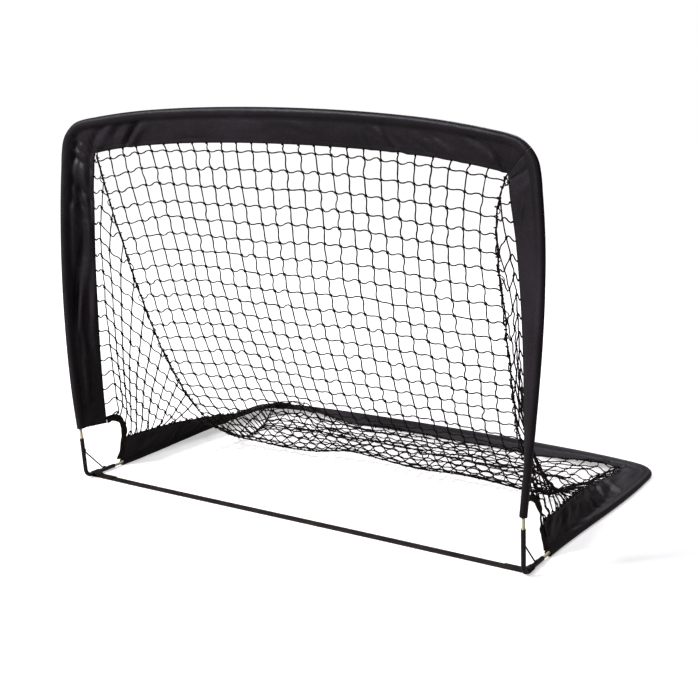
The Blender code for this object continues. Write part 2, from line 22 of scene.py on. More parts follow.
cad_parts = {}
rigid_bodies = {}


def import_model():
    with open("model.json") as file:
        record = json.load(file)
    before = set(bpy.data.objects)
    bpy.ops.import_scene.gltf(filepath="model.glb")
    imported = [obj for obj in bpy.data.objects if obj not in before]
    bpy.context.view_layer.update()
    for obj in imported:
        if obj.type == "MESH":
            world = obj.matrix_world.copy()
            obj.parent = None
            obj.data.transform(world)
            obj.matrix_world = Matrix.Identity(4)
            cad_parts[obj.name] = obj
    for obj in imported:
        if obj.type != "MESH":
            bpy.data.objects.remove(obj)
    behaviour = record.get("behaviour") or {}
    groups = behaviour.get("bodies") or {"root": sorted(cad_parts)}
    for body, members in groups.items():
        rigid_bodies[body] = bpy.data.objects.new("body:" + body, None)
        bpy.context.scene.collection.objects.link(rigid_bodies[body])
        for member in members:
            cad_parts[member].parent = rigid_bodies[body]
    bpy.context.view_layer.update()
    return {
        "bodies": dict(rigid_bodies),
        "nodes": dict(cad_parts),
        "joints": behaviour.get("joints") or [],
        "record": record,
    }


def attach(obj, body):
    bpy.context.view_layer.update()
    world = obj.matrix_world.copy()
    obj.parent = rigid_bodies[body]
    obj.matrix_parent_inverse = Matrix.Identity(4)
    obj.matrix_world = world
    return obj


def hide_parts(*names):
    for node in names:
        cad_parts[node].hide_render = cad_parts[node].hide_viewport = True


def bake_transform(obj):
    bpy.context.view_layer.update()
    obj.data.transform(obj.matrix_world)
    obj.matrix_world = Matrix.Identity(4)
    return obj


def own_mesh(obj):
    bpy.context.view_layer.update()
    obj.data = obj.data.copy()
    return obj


Point = tuple[float, float, float]
LOG = logging.getLogger("folding_goal")
ACROSS = np.array((1.0, 0.0, 0.0))
BACK = np.array((0.0, 1.0, 0.0))
UP = np.array((0.0, 0.0, 1.0))
FOLD_FROM = (0.0, -0.036, 0.83)
FOLD_TO = (0.0, 0.4544, 0.7613)
GAP = 0.0003  # between two pieces that lie against each other
HOOK_SCALE = 17.65  # gives x * (1 - x) ** 6 a peak of 1
BAND_STEP = 0.01  # between the stations of a band that a net is laced to
KNOT_Z = 0.0022  # the middle of a knot that lies on the floor
TAPE_SIZE = (0.0175, 0.0018)  # width and thickness
STRAP_WIDTH = 0.025
HALF_STRAP = 0.0007  # half of the strap's thickness


class Side(Enum):
    """The two sides of the goal, as the sign of x."""

    LEFT = -1
    RIGHT = 1

    @property
    def label(self) -> str:
        """The side's name in the pieces' names."""
        return self.name.lower()

    @property
    def net_step(self) -> float:
        """From strand to strand of the side net, which the photo has wider on the right."""
        return 0.0215 if self is Side.LEFT else 0.0262

    def turn(self, points: np.ndarray) -> np.ndarray:
        """Points of the right-hand side, as they are on this side."""
        return points * np.array((self.value, 1.0, 1.0))


def unit(vector: np.ndarray) -> np.ndarray:
    """The vector, or each row of vectors, at length 1."""
    return vector / np.maximum(np.linalg.norm(vector, axis=-1, keepdims=True), 1e-12)


def direction(x: float, y: float, z: float) -> np.ndarray:
    """A way of length 1."""
    return unit(np.array((x, y, z), float))


def smooth(share: Any) -> Any:
    """0 before 0, 1 after 1 and an even turn between."""
    share = np.clip(share, 0.0, 1.0)
    return share * share * (3 - 2 * share)


def mix(a: Any, b: Any, share: Any) -> Any:
    """The value at a share of the way from a to b."""
    return a + (b - a) * share


def lengths(line: np.ndarray) -> np.ndarray:
    """How far along a line each of its points is."""
    steps = np.linalg.norm(np.diff(line, axis=0), axis=1)
    return np.concatenate(([0.0], np.cumsum(steps)))


def read_off(line: np.ndarray, at: np.ndarray, where: Any) -> np.ndarray:
    """The point, or points, of a line at a value of some measure that rises along it."""
    return np.stack([np.interp(where, at, line[:, k]) for k in range(3)], axis=-1)


def along(line: np.ndarray, where: Any) -> np.ndarray:
    """The point, or points, at a distance along a line."""
    return read_off(line, lengths(line), where)


def tangents(line: np.ndarray) -> np.ndarray:
    """The way of a line at each of its points.

    Args:
        line: the points.

    Returns:
        One way of length 1 for each point.
    """
    last = len(line) - 1
    after = np.minimum(np.arange(last + 1) + 1, last)
    before = np.maximum(np.arange(last + 1) - 1, 0)
    return unit(line[after] - line[before])


def curve_through(values: np.ndarray, at: np.ndarray, where: np.ndarray) -> np.ndarray:
    """A smooth curve through values that are known at some distances.

    Args:
        values: one row for each known distance.
        at: the known distances, rising.
        where: the distances that are asked for.

    Returns:
        One row for each distance asked for.
    """
    gaps = np.diff(at)
    slopes = np.diff(values, axis=0) / gaps[:, None]
    ways = np.empty_like(values)
    ways[0], ways[-1] = slopes[0], slopes[-1]
    share = (gaps[:-1] / (gaps[:-1] + gaps[1:]))[:, None]
    ways[1:-1] = slopes[:-1] * (1 - share) + slopes[1:] * share
    k = np.clip(np.searchsorted(at, where, side="right") - 1, 0, len(gaps) - 1)
    t = np.clip((where - at[k]) / gaps[k], 0, 1)[:, None]
    g = gaps[k][:, None]
    return (
        values[k] * (2 * t**3 - 3 * t**2 + 1)
        + ways[k] * g * (t**3 - 2 * t**2 + t)
        + values[k + 1] * (3 * t**2 - 2 * t**3)
        + ways[k + 1] * g * (t**3 - t**2)
    )


def bezier(
    start: np.ndarray, start_way: np.ndarray, end: np.ndarray, end_way: np.ndarray,
    handles: tuple[float, float], steps: int,
) -> np.ndarray:
    """A cubic curve between two points.

    Args:
        start: its first point.
        start_way: its way there.
        end: its last point.
        end_way: its way there.
        handles: how far the curve is drawn along each way.
        steps: the steps between its points.

    Returns:
        Its points.
    """
    t = np.linspace(0, 1, steps + 1)[:, None]
    s = 1 - t
    a = start + start_way * handles[0]
    b = end - end_way * handles[1]
    return start * s**3 + a * 3 * s * s * t + b * 3 * s * t * t + end * t**3


def fillet(
    corner: np.ndarray, way_in: np.ndarray, way_out: np.ndarray, radius: float, steps: int
) -> np.ndarray:
    """The arc that rounds a corner between two straight ways.

    Args:
        corner: where the ways would meet.
        way_in: the way towards the corner.
        way_out: the way from it.
        radius: the arc's.
        steps: the steps between its points.

    Returns:
        Its points.
    """
    angle = math.acos(float(np.clip(way_in @ way_out, -1, 1)))
    start = corner - way_in * radius * math.tan(angle / 2)
    side = unit(way_out - way_in * (way_in @ way_out))
    turn = np.linspace(0, angle, steps + 1)[:, None]
    return start + side * radius + (way_in * np.sin(turn) - side * np.cos(turn)) * radius


class Drift:
    """Seeded slow noise, the same on every run."""

    def __init__(self, seed: int) -> None:
        """Starts the draws of one piece."""
        self.random = np.random.RandomState(seed)

    def field(self, shape: tuple[int, ...], reach: tuple[float, ...]) -> np.ndarray:
        """Noise of mean square 1 over a grid.

        Args:
            shape: the grid's size.
            reach: over how many cells the noise keeps together, along each axis.

        Returns:
            An array of that shape.
        """
        made = self.random.normal(size=shape)
        for axis, wide in enumerate(reach):
            if wide > 0:
                span = np.arange(-int(3 * wide) - 1, int(3 * wide) + 2)
                kernel = np.exp(-0.5 * (span / wide) ** 2)
                made = np.apply_along_axis(
                    lambda row: np.convolve(np.pad(row, len(span), mode="reflect"), kernel, "same")[
                        len(span) : len(span) + len(row)
                    ],
                    axis, made,
                )
        return made / max(float(made.std()), 1e-9)


@dataclass(frozen=True)
class Corner:
    """A sharp corner of a frame, rounded by an elbow, with the mitre where two bands meet."""

    point: np.ndarray
    way_in: np.ndarray
    way_out: np.ndarray
    normal: np.ndarray
    turn: float
    reach: float
    bend_radius: float = 0.070
    leg: float = 0.095
    steps: int = 6

    @property
    def arc(self) -> np.ndarray:
        """The rounded corner."""
        return fillet(self.point, self.way_in, self.way_out, self.bend_radius, self.steps)

    @property
    def mouth_in(self) -> np.ndarray:
        """Where the rod that comes in enters the elbow."""
        return self.point - self.way_in * self.leg

    @property
    def mouth_out(self) -> np.ndarray:
        """Where the other rod leaves it."""
        return self.point + self.way_out * self.leg

    @property
    def way_across(self) -> np.ndarray:
        """The way of the frame at the mitre."""
        return unit(self.way_in + self.way_out)

    @property
    def inner(self) -> np.ndarray:
        """The inner corner of the bands.

        Returns:
            The point.
        """
        half = math.acos(float(self.way_in @ self.way_out)) / 2
        inward = unit(self.way_out - self.way_in)
        return (
            self.point
            + inward * self.reach * math.cos(self.turn) / math.cos(half)
            + self.normal * self.reach * math.sin(self.turn)
        )


@dataclass
class Band:
    """A cloth band: the middle line of its rod pocket and its free edge."""

    points: np.ndarray
    tips: np.ndarray

    def turned(self, side: Side) -> Band:
        """The band on one side of the goal."""
        return Band(side.turn(self.points), side.turn(self.tips))

    def whole(self, left: Band | None = None) -> Band:
        """Both halves of a band whose first station is in the middle of the goal.

        Args:
            left: the left half as if on the right, when it isn't like this one.

        Returns:
            The band from left to right.
        """
        other = (left or self).turned(Side.LEFT)
        return Band(
            np.concatenate((other.points[:0:-1], self.points)),
            np.concatenate((other.tips[:0:-1], self.tips)),
        )

    def stations(self, step: float) -> Band:
        """The band with stations this far apart, on smooth lines through its own.

        Args:
            step: the distance between two stations.

        Returns:
            The finer band.
        """
        at = lengths(self.points)
        where = np.linspace(0, at[-1], int(round(at[-1] / step)) + 1)
        return Band(
            curve_through(self.points, at, where), curve_through(self.tips, at, where)
        )


@dataclass(frozen=True)
class GoalShape:
    """The lines of the goal, as the CAD model has them.

    Unlike the CAD model's, the two sides differ a little: in how flat the bands lie at the rear
    corner, and in how the seam sags and is pulled in.
    """

    half_span: float = 0.573
    leg_before_strap: float = 0.0325
    arch_lean: float = math.radians(7.0)
    tube_r: float = 0.005
    ground_z: float = 0.0067
    elbow_up: float = 0.105
    elbow_back: float = 0.100
    elbow_bend_r: float = 0.020
    post_rod_shows: float = 0.025
    side_rod_shows: float = 0.030
    band_reach: float = 0.0715
    post_turn: tuple[float, float] = (math.radians(71), math.radians(20))
    crossbar_turn: float = math.radians(21)
    side_turn: tuple[float, float] = (math.radians(78), math.radians(22))
    right_corner_turn: float = math.radians(9)
    rear_turn: float = math.radians(-2.5)
    mitre_step: float = 0.003
    tape_width: float = 0.015
    tape_arc_r: float = 0.052
    net_sag: tuple[float, float] = (0.69, 0.26)
    net_top_slope: float = 0.19
    net_foot_slope: float = 0.02
    net_floor_in: float = 0.128
    net_floor_z: float = 0.004
    net_on_floor: float = 0.2435
    net_floor_bow: float = 0.150
    net_side_bow: tuple[float, float] = (0.24, -0.08)
    net_right_hook: float = 0.36
    net_lift_from: float = 0.4
    top_corner_in: float = 0.0048
    top_corner_forward: float = 0.0315
    top_corner_z: float = 0.8467
    rear_corner_out: float = 0.017
    rear_corner_back: float = 0.8055
    rear_lift_from: float = 0.6
    crossbar_crown: float = 0.0466
    rear_crown: float = 0.0496
    post_bend: float = 0.31
    side_bend: float = 0.32
    fold_gap: float = 0.001
    pocket_r: float = 0.00725
    tape_end_lift: float = 0.004

    def of(self, side: Side) -> GoalShape:
        """The lines of one side: at the right rear corner the bands lie flatter.

        Args:
            side: which side.

        Returns:
            The shape with that side's corner.
        """
        if side is Side.LEFT:
            return self
        return replace(self, side_turn=(self.side_turn[0], self.right_corner_turn))

    @property
    def leg_way(self) -> np.ndarray:
        """The way up of an elbow's upright leg."""
        return np.array((0.0, -math.sin(self.arch_lean), math.cos(self.arch_lean)))

    @property
    def elbow_corner(self) -> np.ndarray:
        """Where the elbow's two legs would meet."""
        return np.array((self.half_span, -self.leg_before_strap, self.ground_z))

    @property
    def post_mouth(self) -> np.ndarray:
        """The upper mouth of the elbow."""
        return self.elbow_corner + self.leg_way * (self.elbow_up - self.ground_z) / self.leg_way[2]

    @property
    def side_mouth(self) -> np.ndarray:
        """The rear mouth of the elbow."""
        return self.elbow_corner + BACK * self.elbow_back

    @property
    def fold_point(self) -> np.ndarray:
        """Where the post's rod goes into its sleeve."""
        return self.post_mouth + self.leg_way * self.post_rod_shows

    @property
    def top_corner(self) -> Corner:
        """The arch's upper corner.

        Returns:
            The right-hand corner.
        """
        x = self.half_span - self.top_corner_in
        y = -self.leg_before_strap - self.top_corner_forward
        return Corner(
            np.array((x, y, self.top_corner_z)),
            direction(-0.129, -0.030, 1), direction(-1, 0.020, 0.180), BACK,
            self.post_turn[1], self.band_reach,
        )

    @property
    def rear_corner(self) -> Corner:
        """The ground frame's rear corner.

        Returns:
            The right-hand corner.
        """
        back = self.rear_corner_back - self.leg_before_strap
        return Corner(
            np.array((self.half_span + self.rear_corner_out, back, self.ground_z)),
            direction(-0.037, 1, 0), direction(-1, 0.222, 0), UP,
            self.side_turn[1], self.band_reach,
        )

    def post_line(self) -> np.ndarray:
        """The post from the fold to the upper elbow.

        Returns:
            Its points, from the fold up.
        """
        top = self.top_corner
        bend = float(np.linalg.norm(top.mouth_in - self.fold_point)) * self.post_bend
        return bezier(
            self.fold_point, direction(0.080, -0.100, 1), top.mouth_in, top.way_in, (bend, bend), 7
        )

    def side_line(self) -> np.ndarray:
        """The side of the ground frame from the elbow to the rear elbow.

        Returns:
            Its points, from the front elbow back.
        """
        rear = self.rear_corner
        bend = float(np.linalg.norm(rear.mouth_in - self.side_mouth)) * self.side_bend
        return bezier(self.side_mouth, BACK, rear.mouth_in, rear.way_in, (bend, bend), 7)

    @staticmethod
    def crowned(corner: Corner, crown: float) -> np.ndarray:
        """Half of a run that bulges between two corners, from the middle out.

        Args:
            corner: the right-hand corner.
            crown: how far the run bulges, along the corner's way.

        Returns:
            Its points.
        """
        mouth, way = corner.mouth_out, corner.way_out
        handle = crown / 0.75
        other, other_way = Side.LEFT.turn(mouth), Side.LEFT.turn(way)
        return bezier(other, other_way, mouth, -way, (handle, handle), 8)[4:]

    def crossbar_line(self) -> np.ndarray:
        """The right half of the crossbar.

        Returns:
            Its points.
        """
        top = self.top_corner
        rise = float(top.point[2]) + self.crossbar_crown - float(top.mouth_out[2])
        return self.crowned(top, rise / float(top.way_out[2]))

    def rear_line(self) -> np.ndarray:
        """The right half of the rear rod.

        Returns:
            Its points.
        """
        rear = self.rear_corner
        rise = self.rear_corner_back + self.rear_crown - self.leg_before_strap - rear.mouth_out[1]
        return self.crowned(rear, float(rise) / float(rear.way_out[1]))

    def to_corner(
        self, run: np.ndarray, arc: np.ndarray, turns: np.ndarray, hand: float, corner: Corner
    ) -> Band:
        """The band over a run and the arc after it, up to the corner's mitre.

        Args:
            run: the stations of the run.
            arc: the corner's arc up to the mitre.
            turns: the angle from the frame's plane towards the corner's normal along the run.
            hand: 1 or -1, for the side of the run that the band is on.
            corner: the corner at its end.

        Returns:
            The band, with a station for each point.
        """
        points = np.concatenate((run, arc))
        ways = tangents(points)
        ways[-1] = corner.way_across * (1 if corner.way_across @ ways[-1] > 0 else -1)
        straight = unit(run[-1] - run[-2])
        tips = np.empty_like(points)
        for k, (point, way) in enumerate(zip(points, ways)):
            turn = turns[min(k, len(run) - 1)]
            inward = unit(np.cross(way, corner.normal)) * hand
            tip = point + (
                inward * math.cos(turn) + corner.normal * math.sin(turn)
            ) * self.band_reach
            room = (len(points) - 1 - k) * self.mitre_step
            past = float((tip - corner.inner) @ straight) + room
            tips[k] = tip - straight * max(past, 0.0)
        first = len(run)
        for k in range(first, len(points)):
            share = (k - first) / (len(points) - 1 - first)
            tips[k] = mix(tips[first], corner.inner, share)
        return Band(points, tips)

    @staticmethod
    def arc_to_mitre(corner: Corner, from_in: bool) -> np.ndarray:
        """The corner's arc up to the mitre, walked along way_in or from the other side."""
        half = corner.steps // 2
        return corner.arc[: half + 1] if from_in else corner.arc[: half - 1 : -1]

    @staticmethod
    def run_from(line: np.ndarray, skip: float) -> np.ndarray:
        """A line without its first stretch."""
        return np.concatenate(([along(line, skip)], line[1:]))

    def post_band(self) -> Band:
        """The right-hand post's band, from its lower end up.

        Returns:
            The band.
        """
        line = self.post_line()
        run = self.run_from(line, self.fold_gap)
        at = lengths(run)
        turns = mix(*self.post_turn, at / at[-1])
        top = self.top_corner
        return self.to_corner(run, self.arc_to_mitre(top, True), turns, 1, top)

    def crossbar_band(self) -> Band:
        """The crossbar's band, from left to right.

        Returns:
            The band.
        """
        line = self.crossbar_line()
        turns = np.full(len(line), self.crossbar_turn)
        top = self.top_corner
        band = self.to_corner(line, self.arc_to_mitre(top, False), turns, -1, top)
        band.tips[0][0] = 0
        return band.whole()

    def side_band(self) -> Band:
        """The right-hand ground band, from its front end back.

        Returns:
            The band.
        """
        line = self.side_line()
        run = self.run_from(line, self.side_rod_shows)
        at = lengths(run)
        turns = mix(*self.side_turn, smooth(at / at[-1]))
        rear = self.rear_corner
        return self.to_corner(run, self.arc_to_mitre(rear, True), turns, -1, rear)

    def rear_band(self) -> Band:
        """The rear band, from left to right."""
        return self.of(Side.RIGHT).half_rear_band().whole(self.half_rear_band())

    def half_rear_band(self) -> Band:
        """The right half of the rear band, from the middle out.

        Returns:
            The band.
        """
        line = self.rear_line()
        at = lengths(line)
        lifted = (at / at[-1] - self.rear_lift_from) / (1 - self.rear_lift_from)
        turns = mix(self.rear_turn, self.side_turn[1], smooth(lifted))
        rear = self.rear_corner
        band = self.to_corner(line, self.arc_to_mitre(rear, False), turns, 1, rear)
        band.tips[0][0] = 0
        return band

    def floor_y(self, x: float) -> float:
        """Where the hanging net meets the floor."""
        rear = self.rear_corner_back - self.leg_before_strap
        return rear - self.net_on_floor - self.net_floor_bow * x * x

    def hanging(self, top: np.ndarray, floor_x: float) -> np.ndarray:
        """The slack line of the net from a point under the crossbar down to the floor.

        Args:
            top: its upper end.
            floor_x: where it reaches the floor. On its way it sags inwards on the left, and
                is pulled inwards near its upper end on the right.

        Returns:
            Its points.
        """
        floor = np.array((floor_x, self.floor_y(floor_x), self.net_floor_z))
        drop = float(top[2] - floor[2])
        line = bezier(
            top, direction(0, self.net_top_slope, -1), floor,
            direction(0, 1, -self.net_foot_slope),
            (self.net_sag[0] * drop, self.net_sag[1] * drop), 48,
        )
        fallen = (top[2] - line[:, 2]) / drop
        bow = 4 * self.net_side_bow[int(floor_x > 0)] * fallen * (1 - fallen)
        if floor_x > 0:
            bow = bow + self.net_right_hook * HOOK_SCALE * fallen * (1 - fallen) ** 6
        bow = bow * min(abs(floor_x) / (self.half_span - self.net_floor_in), 1)
        line[:, 0] = mix(top[0], floor_x, fallen + bow)
        return line

    def on_floor(self, start: np.ndarray, end: np.ndarray, steps: int) -> np.ndarray:
        """The net's line over the floor, which rises to the rear band at its end.

        Args:
            start: where it comes down to the floor.
            end: its end at the band.
            steps: the steps between its points.

        Returns:
            Its points.
        """
        share = np.linspace(0, 1, steps + 1)[:, None]
        line = mix(start, end, share)
        lifted = (share[:, 0] - self.net_lift_from) / (1 - self.net_lift_from)
        line[:, 2] = mix(start[2], end[2], smooth(lifted))
        return line

    def seam(self, side: Side) -> np.ndarray:
        """A seam of the net as if on the right, from the arch's inner corner to the ground's.

        Args:
            side: which seam, as the two sag in their own ways.

        Returns:
            Its points.
        """
        top, rear = side.turn(self.top_corner.inner), side.turn(self.rear_corner.inner)
        drop = self.hanging(top, side.value * (self.half_span - self.net_floor_in))
        return side.turn(np.concatenate((drop, self.on_floor(drop[-1], rear, 12)[1:])))

    def tape_line(self) -> np.ndarray:
        """The right-hand binding tape's middle line, from the post sleeve down to the side rod.

        Returns:
            Its points.
        """
        near = self.post_band().tips[0]
        ground = self.side_band()
        far, far_tip = ground.points[0], ground.tips[0]
        top_z = near[2] + self.tape_width / 2
        last_y = far[1] - GAP - self.tape_width / 2
        foot_z = far[2] + self.pocket_r + self.tape_end_lift
        middle = np.array((0.0, last_y - self.tape_arc_r, top_z - self.tape_arc_r))
        turn = np.linspace(math.pi / 2, 0, 13)[:, None]
        arc = middle + (BACK * np.cos(turn) + UP * np.sin(turn)) * self.tape_arc_r
        line = np.concatenate((
            [np.array((0.0, near[1] + GAP, top_z))], arc,
            [np.array((0.0, last_y, far_tip[2]))], [np.array((0.0, last_y, foot_z))],
        ))
        above = mix(far_tip[0], near[0], smooth((line[:, 2] - far_tip[2]) / (top_z - far_tip[2])))
        below = mix(far[0], far_tip[0], (line[:, 2] - far[2]) / (far_tip[2] - far[2]))
        line[:, 0] = np.where(line[:, 2] > far_tip[2], above, below)
        return line


class Sock:
    """A node's output or a plain number, with the operators that make Math nodes."""

    def __init__(self, shop: MaterialShop, value: Any) -> None:
        """Wraps a socket or a number of one material."""
        self.shop = shop
        self.value = value

    def _with(self, operation: str, other: Any, swap: bool = False) -> Sock:
        """The result of one Math node.

        Args:
            operation: the Math node's operation.
            other: the other operand.
            swap: whether the other operand comes first.

        Returns:
            The node's output.
        """
        values = [self, other]
        if swap:
            values.reverse()
        return self.shop.node("ShaderNodeMath", {"operation": operation}, dict(enumerate(values)))

    def __add__(self, other: Any) -> Sock:
        """Adds."""
        return self._with("ADD", other)

    __radd__ = __add__

    def __sub__(self, other: Any) -> Sock:
        """Subtracts."""
        return self._with("SUBTRACT", other)

    def __rsub__(self, other: Any) -> Sock:
        """Subtracts from a number."""
        return self._with("SUBTRACT", other, swap=True)

    def __mul__(self, other: Any) -> Sock:
        """Multiplies."""
        return self._with("MULTIPLY", other)

    __rmul__ = __mul__

    def __gt__(self, other: Any) -> Sock:
        """1 where it is greater, else 0."""
        return self._with("GREATER_THAN", other)

    def __lt__(self, other: Any) -> Sock:
        """1 where it is less, else 0."""
        return self._with("LESS_THAN", other)

    def __mod__(self, other: Any) -> Sock:
        """The rest after a whole number of steps, never below 0."""
        return self._with("FLOORED_MODULO", other)

    def __abs__(self) -> Sock:
        """Its size."""
        return self._with("ABSOLUTE", 0.0)

    def sine(self) -> Sock:
        """Its sine."""
        return self._with("SINE", 0.0)


class MaterialShop:
    """One procedural material in the making."""

    def __init__(self, name: str) -> None:
        """Starts an empty material with a Principled shader.

        Args:
            name: the material's name.
        """
        self.material = bpy.data.materials.new(name)
        self.material.use_nodes = True
        self.tree = self.material.node_tree
        self.shader = self.tree.nodes["Principled BSDF"]

    def node(
        self, kind: str, settings: dict[str, Any], values: dict[Any, Any], out: Any = 0
    ) -> Sock:
        """Makes a node.

        Args:
            kind: the node's type.
            settings: its own settings, set first; a ramp's stops go under "stops".
            values: numbers, colours or links for its sockets, by name or place.
            out: the output that is wanted.

        Returns:
            That output.
        """
        made = self.tree.nodes.new(kind)
        for name, value in settings.items():
            if name == "stops":
                ramp = made.color_ramp
                while len(ramp.elements) < len(value):
                    ramp.elements.new(0.5)
                for element, (place, colour) in zip(ramp.elements, value):
                    element.position = place
                    element.color = (*colour, 1)
            else:
                setattr(made, name, value)
        for name, value in values.items():
            self.plug(made.inputs[name], value)
        return Sock(self, made.outputs[out])

    def plug(self, socket: Any, value: Any) -> None:
        """Links or sets one input socket.

        Args:
            socket: the input.
            value: a socket or a plain value.
        """
        if isinstance(value, Sock):
            value = value.value
        if isinstance(value, bpy.types.NodeSocket):
            self.tree.links.new(value, socket)
        elif isinstance(value, tuple) and len(value) == 3 and socket.type == "RGBA":
            socket.default_value = (*value, 1)
        else:
            socket.default_value = value

    def place(self) -> Sock:
        """Object coordinates."""
        return self.node("ShaderNodeTexCoord", {}, {}, "Object")

    def along_and_across(self) -> tuple[Sock, Sock]:
        """The piece's own UV map: metres along it and across it.

        Returns:
            The two coordinates.
        """
        uv = self.node("ShaderNodeUVMap", {"uv_map": "UVMap"}, {})
        split = self.node("ShaderNodeSeparateXYZ", {}, {0: uv})
        return split, Sock(self, split.value.node.outputs[1])

    def noise(self, scale: float, detail: float = 2.0, where: Sock | None = None) -> Sock:
        """Noise from 0 to 1, at so many cells per metre.

        Args:
            scale: cells per metre.
            detail: how many octaves.
            where: the coordinates, the piece's own if none are given.

        Returns:
            The noise.
        """
        vector = where or self.place()
        return self.node(
            "ShaderNodeTexNoise", {"noise_dimensions": "3D"},
            {"Vector": vector, "Scale": scale, "Detail": detail},
        )

    def spread(self, value: Sock, low: float, high: float) -> Sock:
        """A value as its share of the way from low to high, from 0 to 1.

        Args:
            value: the value.
            low: where the share is 0.
            high: where the share is 1.

        Returns:
            The share.
        """
        return self.node(
            "ShaderNodeMapRange", {}, {"Value": value, "From Min": low, "From Max": high}
        )

    @staticmethod
    def sewn(
        u: Sock, v: Sock, lines: tuple[float, ...], stitch: float, thread: float, share: float
    ) -> Sock:
        """1 on the threads of lines sewn along a piece, else 0.

        Args:
            u: metres along the piece.
            v: metres across it.
            lines: the distances of the sewn lines from its middle.
            stitch: from one stitch to the next.
            thread: half the thread's thickness.
            share: how much of each stitch shows.

        Returns:
            The mask.
        """
        dashes = (u % stitch) < stitch * share
        rows = [(abs(abs(v) - line) < thread) * dashes for line in lines]
        return sum(rows[1:], rows[0])

    def blend(self, share: Any, a: Any, b: Any) -> Sock:
        """Mixes two colours.

        Args:
            share: 0 for the first colour and 1 for the second.
            a: the first.
            b: the second.

        Returns:
            The mixed colour.
        """
        made = self.tree.nodes.new("ShaderNodeMix")
        made.data_type = "RGBA"
        self.plug(made.inputs["Factor"], share)
        self.plug(made.inputs[6], a)
        self.plug(made.inputs[7], b)
        return Sock(self, made.outputs[2])

    def bump(self, height: Sock, distance: float, strength: float = 1.0, under: Any = None) -> Sock:
        """Makes a Bump node.

        Args:
            height: the relief.
            distance: how high a relief of 1 is, in metres.
            strength: how much of it shows.
            under: the normal of a relief under this one.

        Returns:
            The node's normal.
        """
        values = {"Height": height, "Distance": distance, "Strength": strength}
        if under is not None:
            values["Normal"] = under
        return self.node("ShaderNodeBump", {}, values)

    def dress(self, **values: Any) -> bpy.types.Material:
        """Sets the shader's inputs, with _ for each space in a name, and gives the material.

        Args:
            **values: for each input's name, its socket or value.

        Returns:
            The material.
        """
        for name, value in values.items():
            self.plug(self.shader.inputs[name.replace("_", " ")], value)
        return self.material


@dataclass(frozen=True)
class SleeveCloth:
    """Black coated polyester: fine weave, soft sheen, sewn lines along the band."""

    name: str
    colour: Point = (0.0088, 0.0070, 0.0096)
    worn: Point = (0.0185, 0.0150, 0.0205)
    thread: Point = (0.024, 0.022, 0.025)
    stitch_lines: tuple[float, ...] = (0.0323, 0.0759)
    stitch: float = 0.0034
    weave: float = 0.0009

    def make(self) -> bpy.types.Material:
        """Builds the material.

        Returns:
            The material.
        """
        shop = MaterialShop(self.name)
        u, v = shop.along_and_across()
        row = shop.sewn(u, v, self.stitch_lines, self.stitch, 0.00038, 0.68)
        cloudy = shop.noise(9.0, 4.0)
        fine = shop.noise(160.0, 2.0)
        tone = shop.spread(cloudy * 0.75 + fine * 0.25, 0.38, 0.66)
        base = shop.blend(tone, self.colour, self.worn)
        colour = shop.blend(row, base, self.thread)
        pitch = 2 * math.pi / self.weave
        weave = (u * pitch).sine() * (v * pitch).sine()
        grain = shop.bump(weave, 0.00006, 0.35)
        drawn = shop.node(
            "ShaderNodeCombineXYZ", {}, {"X": u * 16.0, "Y": v * 48.0, "Z": cloudy * 3.0}
        )
        creases = shop.bump(shop.noise(1.0, 3.0, drawn), 0.0045, 0.45, grain)
        crumple = shop.bump(shop.noise(70.0, 3.0), 0.0014, 0.4, creases)
        sewn = shop.bump(row, 0.0004, 0.9, crumple)
        return shop.dress(
            Base_Color=colour, Roughness=0.41 + cloudy * 0.20, Normal=sewn,
            Sheen_Weight=0.02, Sheen_Roughness=0.4, Specular_IOR_Level=0.24,
        )


@dataclass(frozen=True)
class Webbing:
    """Woven webbing: ribs across it and thick edges."""

    name: str
    colour: Point = (0.0085, 0.0068, 0.0060)
    light: Point = (0.030, 0.023, 0.018)
    rib: float = 0.0022
    stitch_lines: tuple[float, ...] = (0.0095,)
    stitch: float = 0.0032

    def make(self) -> bpy.types.Material:
        """Builds the material.

        Returns:
            The material.
        """
        shop = MaterialShop(self.name)
        u, v = shop.along_and_across()
        ribs = (u * (2 * math.pi / self.rib) + (v * 2600.0).sine() * 0.9).sine()
        threads = (v * (2 * math.pi / 0.0014)).sine()
        woven = ribs * 0.6 + threads * 0.4
        dusty = shop.noise(26.0, 4.0)
        tone = shop.spread(woven * 0.12 + dusty, 0.36, 0.72)
        row = shop.sewn(u, v, self.stitch_lines, self.stitch, 0.0004, 0.7)
        base = shop.blend(tone, self.colour, self.light)
        colour = shop.blend(row, base, (0.085, 0.070, 0.055))
        return shop.dress(
            Base_Color=colour, Roughness=0.78 - dusty * 0.12,
            Normal=shop.bump(woven + row * 1.5, 0.0003, 0.8), Specular_IOR_Level=0.15,
        )


@dataclass(frozen=True)
class Twine:
    """Black laid twine."""

    name: str
    colour: Point = (0.0050, 0.0036, 0.0032)
    light: Point = (0.017, 0.011, 0.009)
    lay: float = 0.0042

    def make(self) -> bpy.types.Material:
        """Builds the material.

        Returns:
            The material.
        """
        shop = MaterialShop(self.name)
        u, v = shop.along_and_across()
        plies = (u * (2 * math.pi / self.lay) + v * (2 * math.pi)).sine()
        fuzz = shop.noise(900.0, 2.0)
        tone = fuzz * 0.7 + plies * 0.2
        return shop.dress(
            Base_Color=shop.blend(tone, self.colour, self.light), Roughness=0.72 + fuzz * 0.15,
            Normal=shop.bump(plies + fuzz * 0.5, 0.00022, 0.8), Specular_IOR_Level=0.12,
        )


